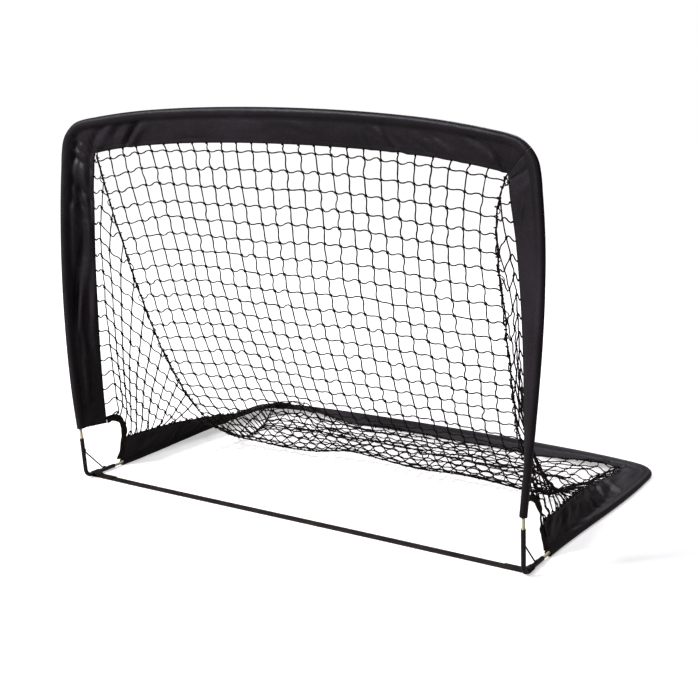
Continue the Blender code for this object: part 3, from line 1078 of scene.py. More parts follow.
@dataclass(frozen=True)
class PaintedSteel:
    """Black semi-gloss paint on steel, with faint orange peel and rubbed spots."""

    name: str
    colour: Point = (0.0085, 0.0085, 0.0092)
    rubbed: Point = (0.030, 0.029, 0.028)
    roughness: float = 0.34

    def make(self) -> bpy.types.Material:
        """Builds the material.

        Returns:
            The material.
        """
        shop = MaterialShop(self.name)
        spots = shop.noise(75.0, 5.0)
        rub = shop.spread(spots, 0.60, 0.74)
        peel = shop.noise(650.0, 2.0)
        return shop.dress(
            Base_Color=shop.blend(rub, self.colour, self.rubbed),
            Roughness=self.roughness + rub * 0.18 + peel * 0.05,
            Normal=shop.bump(peel, 0.00012, 0.4), Specular_IOR_Level=0.32,
        )


@dataclass(frozen=True)
class GlassFibre:
    """Pale yellow pultruded rod: faint streaks along the fibres."""

    name: str
    colour: Point = (0.82, 0.78, 0.54)
    dark: Point = (0.68, 0.62, 0.37)
    stretch: Point = (900.0, 900.0, 60.0)

    def make(self) -> bpy.types.Material:
        """Builds the material.

        Returns:
            The material.
        """
        shop = MaterialShop(self.name)
        drawn = shop.node(
            "ShaderNodeMapping", {}, {"Vector": shop.place(), "Scale": self.stretch}
        )
        streaks = shop.noise(1.0, 3.0, drawn)
        return shop.dress(
            Base_Color=shop.blend(streaks, self.dark, self.colour),
            Roughness=0.36 + streaks * 0.14, Normal=shop.bump(streaks, 0.00008, 0.5),
            Specular_IOR_Level=0.5,
        )


@dataclass(frozen=True)
class PlainSteel:
    """Bare drawn steel of the ferrules."""

    name: str

    def make(self) -> bpy.types.Material:
        """Builds the material.

        Returns:
            The material.
        """
        shop = MaterialShop(self.name)
        drawn = shop.noise(220.0, 3.0)
        return shop.dress(
            Base_Color=shop.blend(drawn, (0.40, 0.40, 0.39), (0.56, 0.56, 0.55)),
            Roughness=0.30 + drawn * 0.15, Metallic=1.0,
            Normal=shop.bump(drawn, 0.00005, 0.4),
        )


@dataclass(frozen=True)
class PaleFloor:
    """A plain pale floor that keeps the object's shadow."""

    name: str
    colour: Point = (0.86, 0.86, 0.86)
    bounced: Point = (0.30, 0.28, 0.26)
    lift: float = 0.47
    mirrored: float = 0.12
    near: float = 1.2
    far: float = 3.6

    def make(self) -> bpy.types.Material:
        """Builds the material: diffuse, lifted to white where the camera and gloss see it.

        Returns:
            The material.
        """
        shop = MaterialShop(self.name)
        rays = shop.node("ShaderNodeLightPath", {}, {}, "Is Camera Ray")
        gloss = Sock(shop, rays.value.node.outputs["Is Glossy Ray"])
        away = shop.node(
            "ShaderNodeVectorMath", {"operation": "LENGTH"}, {0: shop.place()}, "Value"
        )
        far = shop.spread(away, self.near, self.far)
        own = shop.blend(far, (self.lift,) * 3, (1.0, 1.0, 1.0))
        return shop.dress(
            Base_Color=shop.blend(rays, self.bounced, self.colour),
            Roughness=0.9, Specular_IOR_Level=0.0,
            Emission_Color=shop.blend(rays + gloss * self.mirrored, (0.0, 0.0, 0.0), own),
            Emission_Strength=1.0,
        )


class Tubes:
    """Collects round strands and copies of one shape into a single mesh."""

    def __init__(self, sides: int) -> None:
        """Starts an empty collection of strands with so many sides.

        Args:
            sides: how many sides a strand's section has.
        """
        self.sides = sides
        self.points: list[np.ndarray] = []
        self.faces: list[list[int]] = []
        self.uvs: list[tuple[float, float]] = []
        self.count = 0

    def strand(self, line: np.ndarray, radius: Any, start: float = 0.0) -> None:
        """Adds a closed tube.

        Args:
            line: the points of its middle.
            radius: one radius, or one for each point.
            start: the distance along that its UV map begins with.
        """
        n, sides = len(line), self.sides
        radius = np.broadcast_to(np.asarray(radius, float), (n,))
        ways = tangents(line)
        side = np.cross(ways[0], UP if abs(ways[0][2]) < 0.9 else ACROSS)
        frames = np.empty((n, 3))
        for k, way in enumerate(ways):
            side = side - way * float(side @ way)
            side = side / math.sqrt(float(side @ side))
            frames[k] = side
        other = np.cross(ways, frames)
        turn = np.arange(sides) * 2 * math.pi / sides
        ring = (
            frames[:, None] * np.cos(turn)[None, :, None]
            + other[:, None] * np.sin(turn)[None, :, None]
        )
        body = line[:, None] + ring * radius[:, None, None]
        base = self.count
        self.points += [body.reshape(-1, 3), line[:1], line[-1:]]
        at = lengths(line) + start
        for k in range(n - 1):
            a, b = base + k * sides, base + (k + 1) * sides
            for j in range(sides):
                i = (j + 1) % sides
                self.faces.append([a + j, a + i, b + i, b + j])
                lo, hi = j / sides, (j + 1) / sides
                self.uvs += [(at[k], lo), (at[k], hi), (at[k + 1], hi), (at[k + 1], lo)]
        first, last = base + n * sides, base + n * sides + 1
        top = base + (n - 1) * sides
        for j in range(sides):
            i = (j + 1) % sides
            self.faces.append([first, base + i, base + j])
            self.faces.append([last, top + j, top + i])
            self.uvs += [(at[0], 0.5), (at[0], 0.0), (at[0], 1.0)]
            self.uvs += [(at[-1], 0.5), (at[-1], 0.0), (at[-1], 1.0)]
        self.count += n * sides + 2

    def stamp(
        self, shape: tuple[np.ndarray, list[list[int]]], turn: np.ndarray, at: np.ndarray
    ) -> None:
        """Adds a copy of a small closed shape.

        Args:
            shape: its points and its faces.
            turn: a 3 by 3 matrix.
            at: where its middle goes.
        """
        points, faces = shape
        self.points.append(points @ turn.T + at)
        for face in faces:
            self.faces.append([self.count + k for k in face])
            self.uvs += [(float(points[k][0]), float(points[k][2]) * 300) for k in face]
        self.count += len(points)

    def mesh_object(self, name: str, finish: bpy.types.Material) -> bpy.types.Object:
        """Makes the object."""
        return new_object(name, np.concatenate(self.points), self.faces, self.uvs, finish)


def new_object(
    name: str, points: np.ndarray, faces: list[list[int]], uvs: list[tuple[float, float]],
    finish: bpy.types.Material,
) -> bpy.types.Object:
    """A smooth-shaded object at the origin, with its UV map.

    Args:
        name: its name.
        points: its vertices in the goal's frame.
        faces: its faces, as places in points.
        uvs: one pair for each corner of each face, in order.
        finish: its material.

    Returns:
        The object.
    """
    data = bpy.data.meshes.new(name)
    data.from_pydata(points.tolist(), [], faces)
    layer = data.uv_layers.new(name="UVMap")
    layer.data.foreach_set("uv", np.asarray(uvs, np.float32).ravel())
    data.shade_smooth()
    data.materials.append(finish)
    obj = bpy.data.objects.new(name, data)
    bpy.context.scene.collection.objects.link(obj)
    return obj


def wall(
    at: np.ndarray, spread: np.ndarray
) -> tuple[list[list[int]], list[tuple[float, float]]]:
    """The faces between rings of points that follow each other.

    Args:
        at: how far along the piece each ring is.
        spread: how far across it each point of a ring is.

    Returns:
        The faces, and the UV pair of each of their corners.
    """
    around = len(spread)
    faces, uvs = [], []
    for i in range(len(at) - 1):
        for k in range(around):
            j = (k + 1) % around
            a, b = i * around, (i + 1) * around
            faces.append([a + k, a + j, b + j, b + k])
            s, t = spread[k], spread[j]
            uvs += [(at[i], s), (at[i], t), (at[i + 1], t), (at[i + 1], s)]
    return faces, uvs


def taken(obj: bpy.types.Object) -> tuple[np.ndarray, list[list[int]]]:
    """The points and faces of an object that isn't needed itself, which is removed.

    Args:
        obj: the object.

    Returns:
        Its points, and the corners of each face.
    """
    points = np.array([v.co for v in obj.data.vertices])
    faces = [list(p.vertices) for p in obj.data.polygons]
    bpy.data.objects.remove(obj)
    return points, faces


def face_outwards(obj: bpy.types.Object) -> None:
    """Turns the faces of a closed piece outwards.

    Args:
        obj: the piece.
    """
    mesh = bmesh.new()
    mesh.from_mesh(obj.data)
    bmesh.ops.recalc_face_normals(mesh, faces=mesh.faces)
    mesh.to_mesh(obj.data)
    mesh.free()


def deselect() -> None:
    """Leaves nothing selected, so that an operator acts on the new piece alone."""
    for obj in bpy.context.selected_objects:
        obj.select_set(False)


def apply_modifiers(obj: bpy.types.Object) -> None:
    """Applies all the modifiers of a piece.

    Args:
        obj: the piece.
    """
    deselect()
    bpy.context.view_layer.objects.active = obj
    obj.select_set(True)
    for modifier in list(obj.modifiers):
        bpy.ops.object.modifier_apply(modifier=modifier.name)


def dress_node(node: bpy.types.Object, finish: bpy.types.Material) -> None:
    """Gives a CAD node a better material."""
    node.data.materials.clear()
    node.data.materials.append(finish)


@dataclass(frozen=True)
class Folds:
    """A family of soft creases in a sleeve, at an angle from its length towards its free edge."""

    count: int
    start: float
    end: float
    angle: float
    spread: float = 0.25
    length: float = 0.080
    width: float = 0.0060
    height: float = 0.0024
    across: tuple[float, float] = (0.25, 0.95)
    outwards: float = 0.62

    def relief(
        self, s: np.ndarray, u: np.ndarray, total: float, reach: float, random: Any
    ) -> np.ndarray:
        """How far the creases lift the cloth.

        Args:
            s: distance along the band, for each point.
            u: distance from the rod.
            total: the band's length.
            reach: its width.
            random: seeded draws.

        Returns:
            The lift of each point.
        """
        lift = np.zeros_like(u)
        for _ in range(self.count):
            at = random.uniform(self.start, self.end) * total
            side = random.uniform(*self.across) * reach
            angle = self.angle + random.normal() * self.spread
            ds, du = s - at, u - side
            run = ds * math.cos(angle) + du * math.sin(angle)
            off = du * math.cos(angle) - ds * math.sin(angle)
            half = self.length / 2 * random.uniform(0.6, 1.4)
            off = off + random.normal() * 0.10 * run**2 / half
            wide = self.width * random.uniform(0.7, 1.5)
            high = self.height * random.uniform(0.5, 1.2)
            high = high * (1 if random.uniform() < self.outwards else -0.8)
            beside = np.exp(-(((off - 1.9 * wide) / wide) ** 2))
            ridge = np.exp(-((off / wide) ** 2)) - 0.4 * beside
            lift = lift + high * ridge * np.exp(-((run / half) ** 2))
        return lift


@dataclass
class Sleeve:
    """A cloth sleeve: a pocket round the rod and a flat double band with a sewn edge."""

    name: str
    band: Band
    seed: int
    slack: Any
    folds: tuple[Folds, ...] = ()
    bend: float = 0.5
    first_open: bool = False
    length_step: float = 0.0045
    across_cells: int = 16
    pocket_r: float = 0.0082
    pocket_stitch: float = 0.0195
    edge_stitch: float = 0.0085
    half_cloth: float = 0.0009
    puff: float = 0.0013
    nip: float = 0.45
    nip_reach: float = 0.0035
    most_moved: float = 0.010
    edge_hold: float = 0.9
    stretch: float = 0.05
    frames: int = 25
    roughness: float = 0.0005
    fold_from: float = 0.008
    fold_fade: float = 0.016
    edge_fade: float = 0.014
    layer_z: float = 0.0012
    lowest_z: float = 0.0002

    def flat_grid(self) -> np.ndarray:
        """The band's middle surface before it creases: rows along it, from the rod to the edge.

        Returns:
            The surface's points.
        """
        fine = self.band.stations(self.length_step)
        share = np.linspace(0, 1, self.across_cells + 1)[None, :, None]
        return mix(fine.points[:, None], fine.tips[:, None], share)

    def creased(self, grid: np.ndarray) -> np.ndarray:
        """The middle surface after the cloth has settled, with more cloth than it needs.

        Args:
            grid: the flat surface.

        Returns:
            The surface with its folds.
        """
        rows, cols = grid.shape[:2]
        at = np.linspace(0, 1, rows)
        drift = Drift(self.seed)
        middle = grid[rows // 2]
        normal = unit(np.cross(grid[-1, 0] - grid[0, 0], middle[-1] - middle[0]))
        bubble = np.sin(np.linspace(0, math.pi, cols))[None, :]
        rough = drift.field((rows, cols), (2.5, 2.0)) * self.roughness * bubble
        start = grid + rough[..., None] * normal
        deselect()
        bpy.ops.mesh.primitive_grid_add(x_subdivisions=cols - 1, y_subdivisions=rows - 1, size=1)
        cloth = bpy.context.object
        cloth.data.vertices.foreach_set("co", start.reshape(-1).astype(np.float32))
        cloth.data.update()
        pins = cloth.vertex_groups.new(name="pins")
        loose = cloth.vertex_groups.new(name="loose")
        amount = np.clip(self.slack(at), 0, 1)
        for i in range(rows):
            for j in range(cols):
                k = i * cols + j
                fixed = j == 0 or i in (0, rows - 1)
                edge = self.edge_hold if j == cols - 1 else 0.0
                pins.add([k], 1.0 if fixed else edge, "REPLACE")
                loose.add([k], float(amount[i]), "REPLACE")
        sim = cloth.modifiers.new("cloth", "CLOTH")
        fabric = sim.settings
        fabric.quality = 6
        fabric.mass = 0.15
        fabric.tension_stiffness = fabric.compression_stiffness = 30
        fabric.shear_stiffness = 8
        fabric.bending_stiffness = self.bend
        fabric.air_damping = 2
        fabric.vertex_group_mass = "pins"
        fabric.vertex_group_shrink = "loose"
        fabric.shrink_min = 0.0
        fabric.shrink_max = -self.stretch
        fabric.effector_weights.gravity = 0.3
        sim.collision_settings.use_self_collision = False
        sim.point_cache.frame_start, sim.point_cache.frame_end = 1, self.frames + 1
        scene = bpy.context.scene
        for frame in range(1, self.frames + 1):
            scene.frame_set(frame)
        shape = cloth.evaluated_get(bpy.context.evaluated_depsgraph_get())
        settled = np.empty(rows * cols * 3, np.float32)
        shape.data.vertices.foreach_get("co", settled)
        bpy.data.objects.remove(cloth)
        scene.frame_set(1)
        moved = settled.reshape(rows, cols, 3).astype(float) - grid
        size = np.linalg.norm(moved, axis=2, keepdims=True)
        return grid + moved * np.minimum(1, self.most_moved / np.maximum(size, 1e-9))

    @staticmethod
    def doubled(grid: np.ndarray) -> np.ndarray:
        """The grid with a smooth row and column between each two.

        Args:
            grid: the surface's points.

        Returns:
            The finer grid.
        """
        for axis in (0, 1):
            grid = np.moveaxis(grid, axis, 0)
            at = np.arange(len(grid), dtype=float)
            where = np.linspace(0, at[-1], 2 * len(grid) - 1)
            flat = grid.reshape(len(grid), -1)
            grid = curve_through(flat, at, where).reshape(len(where), *grid.shape[1:])
            grid = np.moveaxis(grid, 0, axis)
        return grid

    def folded(self, grid: np.ndarray, random: Any) -> np.ndarray:
        """Adds the creases, which die out at the rod, at both ends and at the edge.

        Args:
            grid: the settled surface.
            random: seeded draws.

        Returns:
            The surface with its creases.
        """
        rows, cols = grid.shape[:2]
        total = float(lengths(self.band.points)[-1])
        reach = float(np.linalg.norm(grid[:, -1] - grid[:, 0], axis=1).mean())
        s = np.linspace(0, total, rows)[:, None] * np.ones((1, cols))
        u = np.linspace(0, reach, cols)[None, :] * np.ones((rows, 1))
        lift = np.zeros((rows, cols))
        for family in self.folds:
            lift = lift + family.relief(s, u, total, reach, random)
        at_edge = smooth((u - reach + self.edge_fade) / self.edge_fade)
        hold = smooth((u - self.fold_from) / self.fold_fade) * (1 - 0.55 * at_edge)
        ends = smooth(s / self.fold_fade) * smooth((total - s) / self.fold_fade)
        normals = unit(np.cross(unit(np.gradient(grid, axis=0)), unit(np.gradient(grid, axis=1))))
        made = grid + normals * (lift * hold * ends)[..., None]
        made[..., 2] = np.maximum(made[..., 2], self.layer_z)
        return made

    def half_thickness(self, u: np.ndarray, reach: np.ndarray, swell: np.ndarray) -> np.ndarray:
        """Half the band's thickness at a distance from the rod.

        Args:
            u: the distances.
            reach: the band's width there.
            swell: how much the two layers part, from 0 to about 1.5.

        Returns:
            The thickness, for each distance.
        """
        round_part = np.sqrt(np.maximum(self.pocket_r**2 - u**2, 0))
        tangent = self.pocket_r * 0.92
        bulge_to = self.pocket_r * 0.35
        slope = smooth(1 - (u - bulge_to) / (self.pocket_stitch - bulge_to))
        pocket = self.half_cloth + (tangent - self.half_cloth) * slope**1.35
        pocket = np.maximum(round_part, pocket)
        hem = reach - self.edge_stitch
        share = np.clip((u - self.pocket_stitch) / np.maximum(hem - self.pocket_stitch, 1e-6), 0, 1)
        body = self.half_cloth + self.puff * swell * np.sin(math.pi * share) ** 0.6
        edge_share = np.clip((u - hem) / np.maximum(reach - hem, 1e-6), 0, 1)
        edge = self.half_cloth * (1 + 0.6 * np.sin(math.pi * np.minimum(edge_share * 1.1, 1)))
        made = np.where(u < self.pocket_stitch, pocket, np.where(u < hem, body, edge))
        return np.where(edge_share >= 1, self.half_cloth * 0.75, made)

    def build(self, finish: bpy.types.Material) -> bpy.types.Object:
        """Makes the closed sleeve round its creased surface.

        Args:
            finish: its material.

        Returns:
            The sleeve.
        """
        flat = self.flat_grid()
        grid = self.doubled(self.creased(flat))
        rows, cols = grid.shape[:2]
        drift = Drift(self.seed + 100)
        grid = self.folded(grid, drift.random)
        lengthways = unit(np.gradient(grid, axis=0))
        across = unit(np.gradient(grid, axis=1))
        normals = unit(np.cross(lengthways, across))
        reach = np.linalg.norm(grid[:, -1] - grid[:, 0], axis=1)[:, None]
        u = reach * np.linspace(0, 1, cols)[None, :]
        swell = 0.8 + 0.4 * drift.field((rows, cols), (14, 5))
        half = self.half_thickness(u, reach, np.clip(swell, 0.1, 1.8))
        at = lengths(self.band.points)[-1] * np.linspace(0, 1, rows)
        nip = np.exp(-(((at[-1] - at) / self.nip_reach) ** 2))
        if not self.first_open:
            nip = nip + np.exp(-((at / self.nip_reach) ** 2))
        half = half * (1 - self.nip * nip[:, None] * smooth(u / self.pocket_r - 0.6))
        front = grid + normals * half[..., None]
        back = grid - normals * half[..., None]
        turn = np.linspace(math.pi / 2, 3 * math.pi / 2, 9)[1:-1]
        radius = half[:, 0]
        wrap = (
            grid[:, :1]
            + across[:, :1] * (np.cos(turn)[None, :] * radius[:, None])[..., None]
            + normals[:, :1] * (np.sin(turn)[None, :] * radius[:, None])[..., None]
        )
        ring = np.concatenate((front[:, ::-1], wrap, back), axis=1)
        ring[..., 2] = np.maximum(ring[..., 2], self.lowest_z)
        bend = math.pi * self.pocket_r / 2
        spread = np.concatenate((
            (u[0] + bend)[::-1], bend * (1 - (turn - math.pi / 2) / (math.pi / 2)), -(u[0] + bend),
        ))
        return self.closed(ring, at, spread, finish)

    def closed(
        self, ring: np.ndarray, at: np.ndarray, spread: np.ndarray, finish: bpy.types.Material
    ) -> bpy.types.Object:
        """Joins the rings into a closed mesh, with turned-in ends.

        Args:
            ring: for each station, the points round the sleeve, from one face of its free edge
                to the other.
            at: how far along the sleeve each station is.
            spread: how far across the flat sleeve each point of a ring is.
            finish: its material.

        Returns:
            The sleeve.
        """
        rows, around = ring.shape[:2]
        heart = (ring + ring[:, ::-1]) / 2
        points = [ring.reshape(-1, 3)]
        faces, uvs = wall(at, spread)
        base = rows * around
        for row, inner_row, far in ((0, 2, at[0]), (rows - 1, rows - 3, at[-1])):
            rim = mix(ring[row], heart[row], 0.35)
            deep = mix(ring[inner_row], heart[inner_row], 0.45)
            points += [rim, deep]
            for lower, upper in ((row * around, base), (base, base + around)):
                for k in range(around):
                    j = (k + 1) % around
                    faces.append([lower + k, lower + j, upper + j, upper + k])
                    uvs += [(far, spread[k]), (far, spread[j]), (far, spread[j]), (far, spread[k])]
            upper = base + around
            for k in range((around - 1) // 2):
                twin = around - 1 - k
                quad = [upper + k, upper + k + 1, upper + twin - 1, upper + twin]
                if len(set(quad)) == 4:
                    faces.append(quad)
                    uvs += [(far, spread[k])] * 4
                else:
                    faces.append([upper + k, upper + k + 1, upper + twin])
                    uvs += [(far, spread[k])] * 3
            base += 2 * around
        obj = new_object(self.name, np.concatenate(points), faces, uvs, finish)
        face_outwards(obj)
        return obj


@dataclass
class Strip:
    """A woven strip along a line, with rounded edges."""

    name: str
    line: np.ndarray
    wide: np.ndarray
    width: float
    thickness: float
    corners: int = 3

    def build(self, finish: bpy.types.Material) -> bpy.types.Object:
        """Makes the strip.

        Args:
            finish: its material.

        Returns:
            The closed strip.
        """
        ways = tangents(self.line)
        wide = unit(self.wide - ways * np.sum(self.wide * ways, axis=1, keepdims=True))
        thick = np.cross(ways, wide)
        half, edge = self.width / 2, self.thickness / 2
        turn = np.linspace(-math.pi / 2, math.pi / 2, self.corners * 2 + 1)
        outline = [(half - edge + edge * math.cos(t), edge * math.sin(t)) for t in turn]
        outline += [(x, edge) for x in (half * 0.5, 0.0, -half * 0.5)]
        outline += [(-x, -y) for x, y in outline[: len(turn)]]
        outline += [(x, -edge) for x in (-half * 0.5, 0.0, half * 0.5)]
        shape = np.array(outline)
        ring = (
            self.line[:, None]
            + wide[:, None] * shape[None, :, :1]
            + thick[:, None] * shape[None, :, 1:]
        )
        rows, around = ring.shape[:2]
        at = lengths(self.line)
        faces, uvs = wall(at, shape[:, 0])
        for row in (0, rows - 1):
            faces.append([row * around + k for k in range(around)])
            uvs += [(at[row], shape[k][0]) for k in range(around)]
        obj = new_object(self.name, ring.reshape(-1, 3), faces, uvs, finish)
        face_outwards(obj)
        return obj


def fold_share(points: np.ndarray) -> np.ndarray:
    """How far the points are from the part that folds with the arch, 1 where nothing folds.

    Args:
        points: the points.

    Returns:
        The share for each point.
    """
    start, end = np.array(FOLD_FROM), np.array(FOLD_TO)
    way = end - start
    return (points - start) @ way / float(way @ way)


class Knot:
    """One knot of the net, modelled once and stamped everywhere."""

    def __init__(self, size: float = 0.0026) -> None:
        """Models it: a small lump, drawn out aslant and pinched at its waist.

        Args:
            size: its radius before it is drawn out.
        """
        deselect()
        bpy.ops.mesh.primitive_uv_sphere_add(segments=8, ring_count=5, radius=size)
        lump = bpy.context.object
        bpy.ops.object.mode_set(mode="EDIT")
        bpy.ops.mesh.select_all(action="SELECT")
        bpy.ops.transform.resize(value=(1.5, 0.95, 1.0))
        bpy.ops.transform.rotate(
            value=math.radians(38), orient_axis="Y", center_override=(0, 0, 0)
        )
        bpy.ops.object.mode_set(mode="OBJECT")
        self.shape = taken(lump)


class Netting:
    """The twines, knots and lacing loops of one piece of net."""

    def __init__(
        self, knot: Knot, seed: int, twine_r: float = 0.0015, below: Netting | None = None,
        cut_z: float = 0.0,
    ) -> None:
        """Starts an empty piece.

        Args:
            knot: the knot that is stamped.
            seed: for the twines' and knots' unevenness.
            twine_r: the twine's radius.
            below: the piece that takes what is lower than cut_z.
            cut_z: that height.
        """
        self.knot_shape = knot
        self.below = below
        self.cut_z = cut_z
        self.twine_r = twine_r
        self.random = np.random.RandomState(seed)
        self.tubes = Tubes(6)

    def twine(self, line: np.ndarray) -> None:
        """Adds a twine of slightly uneven thickness.

        Args:
            line: its points.
        """
        uneven = 1 + 0.07 * self.random.normal(size=len(line)).clip(-2, 2)
        radius = self.twine_r * uneven
        at = lengths(line) + float(self.random.uniform(0, 0.01))
        low = line[:, 2] < (self.cut_z if self.below else -1.0)
        first = 0
        for last in (*(np.flatnonzero(np.diff(low)) + 1), len(line) - 1):
            if last > first:
                run = slice(first, last + 1)
                part = self.below if self.below and low[first] else self
                part.tubes.strand(line[run], radius[run], float(at[first]))
            first = last

    def through(self, knots: np.ndarray, steps: int, wave: np.ndarray | None = None) -> None:
        """Adds a twine through a row of knots.

        Args:
            knots: the points it passes.
            steps: points for each mesh.
            wave: for each mesh, the way and size of the twine's dip after a knot.
        """
        at = np.arange(len(knots), dtype=float)
        where = np.linspace(0, at[-1], (len(knots) - 1) * steps + 1)
        line = curve_through(knots, at, where)
        if wave is not None:
            mesh = np.minimum(where.astype(int), len(knots) - 2)
            line = line + wave[mesh] * np.sin(2 * math.pi * (where - mesh))[:, None]
        line[:, 2] = np.maximum(line[:, 2], self.twine_r + 0.0003)
        self.twine(line)

    def knot(self, at: np.ndarray, right: np.ndarray, up: np.ndarray) -> None:
        """Adds a knot.

        Args:
            at: its place.
            right: the way of the twine across the net.
            up: the way of the twine up the net.
        """
        right = unit(right)
        up = unit(up - right * float(right @ up))
        size = self.random.uniform(0.85, 1.2)
        turn = np.stack((right, np.cross(up, right), up), axis=1) * size
        at = np.array((at[0], at[1], max(at[2], KNOT_Z)))
        part = self.below if self.below and at[2] < self.cut_z else self
        part.tubes.stamp(self.knot_shape.shape, turn, at)

    def loop(self, at: np.ndarray, out: np.ndarray, way: np.ndarray, radius: float) -> None:
        """Adds a lacing loop round an edge.

        Args:
            at: a point of the edge.
            out: the way from the cloth towards the net.
            way: the edge's own way.
            radius: the loop's.
        """
        out, way = unit(out), unit(way)
        third = np.cross(out, way)
        lean = float(self.random.uniform(-0.5, 0.5))
        turn = np.linspace(0, 2 * math.pi, 13)[:, None]
        size = radius * float(self.random.uniform(0.85, 1.15))
        ring = (
            at + out * (np.cos(turn) * size - size * 0.35) + third * np.sin(turn) * size * 0.75
            + way * np.sin(turn / 2) * size * lean
        )
        ring[:, 2] = np.maximum(ring[:, 2], self.twine_r)
        self.twine(ring)

    def done(self, name: str, finish: bpy.types.Material) -> bpy.types.Object:
        """Makes the piece's object."""
        return self.tubes.mesh_object(name, finish)


@dataclass
class RearNet:
    """The big panel: it hangs from the crossbar and runs on, rumpled, over the floor."""

    shape: GoalShape
    knot: Knot
    columns: int = 27
    hanging_rows: int = 27
    floor_rows: int = 10
    first_row: float = 0.45
    edge_in: float = 0.002
    tuck: float = 0.0025
    lace_r: float = 0.0030
    pushed_back: float = 0.018
    most_heaped: float = 0.020
    seed: int = 11

    def knots(self) -> np.ndarray:
        """All the knots, with the laced points above the first and behind the last row.

        Returns:
            The knots, by row and column.
        """
        shape = self.shape
        crossbar = shape.crossbar_band().stations(BAND_STEP).tips
        rear = shape.rear_band().stations(BAND_STEP).tips
        top_x = float(shape.top_corner.inner[0]) - self.edge_in
        corners_x = [float(shape.of(side).rear_corner.inner[0]) - self.edge_in for side in Side]
        floor_x = shape.half_span - shape.net_floor_in - self.edge_in
        lines = []
        for c in range(self.columns):
            share = 2 * c / (self.columns - 1) - 1
            end = read_off(rear, rear[:, 0], share * corners_x[int(share > 0)])
            top = read_off(crossbar, crossbar[:, 0], share * top_x)
            drop = shape.hanging(top, share * floor_x)
            fall = lengths(drop)[-1] / (self.hanging_rows - 0.1)
            hung = along(drop, (np.arange(self.hanging_rows) + self.first_row) * fall)
            floor = shape.on_floor(drop[-1], end, 24)
            step = lengths(floor)[-1] / (self.floor_rows + 0.2)
            laid = along(floor, (np.arange(self.floor_rows) + 0.6) * step)
            lines.append(np.concatenate((top[None], hung, laid, end[None])))
        return np.stack(lines, axis=1)

    def rumpled(self, knots: np.ndarray) -> np.ndarray:
        """Moves the knots to where they really lie, slack, and heaped up on the floor.

        Args:
            knots: the even grid of knots.

        Returns:
            The moved knots.
        """
        drift = Drift(self.seed)
        rows, cols = knots.shape[:2]
        down = unit(np.gradient(knots, axis=0))
        right = unit(np.gradient(knots, axis=1))
        normal = np.cross(right, down)
        fall = np.clip(np.arange(rows) / self.hanging_rows, 0, 1)[:, None]
        floor = smooth((np.arange(rows) - self.hanging_rows + 1.5) / 2.0)[:, None]
        slack = mix(1 + 0.9 * fall**2, 1.0, floor)

        def noise(down_rows: float, over_columns: float, size: float) -> np.ndarray:
            """Slow noise over the knots."""
            return drift.field((rows, cols), (down_rows, over_columns)) * size

        hung = noise(4.0, 1.2, 0.0023) + drift.random.normal(size=(rows, cols)) * 0.0011
        staggered = 1 - 2 * ((np.arange(rows)[:, None] + np.arange(cols)[None]) % 2)
        laid = noise(1.2, 1.2, 0.0042) + staggered * 0.0040
        lengthways = mix(hung * slack, laid, floor)
        sideways = mix(noise(1.6, 1.4, 0.0026) * slack, noise(1.0, 1.0, 0.0045), floor)
        depth = mix(noise(4.0, 1.6, 0.0026) * slack, 0.0, floor)
        heap = np.abs(noise(0.8, 1.3, 0.0065)) * floor
        fold = np.exp(-(((np.arange(rows) - self.hanging_rows - 1) / 1.6) ** 2))[:, None]
        heap = heap + fold * (0.008 + np.abs(noise(0.9, 2.0, 0.006)))
        hold = np.ones((rows, 1))
        hold[0] = hold[-1] = 0
        hold[1] = hold[-2] = 0.5
        moved = (
            down * lengthways[..., None] + right * sideways[..., None] + normal * depth[..., None]
        )
        moved[..., 1] += self.pushed_back * floor
        moved[..., 2] += np.clip(heap, 0, self.most_heaped)
        moved[:, (0, -1)] *= 0.4
        made = knots + moved * hold[..., None]
        made[..., 2] = np.maximum(made[..., 2], KNOT_Z)
        return made

    def build(
        self, finish: bpy.types.Material
    ) -> tuple[bpy.types.Object, bpy.types.Object, float]:
        """Makes the panel as an upper and a lower piece.

        Args:
            finish: the twine's material.

        Returns:
            The upper piece, the lower piece and the furthest y of the row they share.
        """
        knots = self.rumpled(self.knots())
        rows, cols = knots.shape[:2]
        share = fold_share(knots)
        cut = int(np.argmax((share >= 1).all(axis=1)))
        upper, lower = Netting(self.knot, self.seed + 1), Netting(self.knot, self.seed + 2)
        down = unit(np.gradient(knots, axis=0))
        random = np.random.RandomState(self.seed + 3)
        for c in range(cols):
            line = knots[:, c].copy()
            line[0] -= down[0, c] * self.tuck
            line[-1] += down[-1, c] * self.tuck
            sway = ACROSS * (random.normal(size=(rows - 1, 1)) * 0.0009 + 0.0013)
            upper.through(line[: cut + 1], 5, sway[:cut])
            lower.through(line[cut:], 5, sway[cut:])
        for r in range(1, rows - 1):
            net = upper if r < cut else lower
            on_floor = r > self.hanging_rows
            size = 0.0030 if on_floor else 0.0022 + 0.0016 * min(r / self.hanging_rows, 1)
            swing = size * (1 + 0.35 * random.normal(size=(cols - 1, 1)))
            wave = down[r, :-1] * swing
            net.through(knots[r], 5, wave)
            for c in range(1, cols - 1):
                net.knot(knots[r, c], knots[r, c + 1] - knots[r, c - 1], -down[r, c])
        for c in range(1, cols - 1):
            for row, net, sign in ((0, upper, 1.0), (rows - 1, lower, -1.0)):
                beside = knots[row, c + 1] - knots[row, c]
                net.loop(knots[row, c], down[row, c] * sign, beside, self.lace_r)
        top = upper.done("rear_net_hanging", finish)
        foot = lower.done("rear_net_on_floor", finish)
        return top, foot, float(knots[cut, :, 1].max())


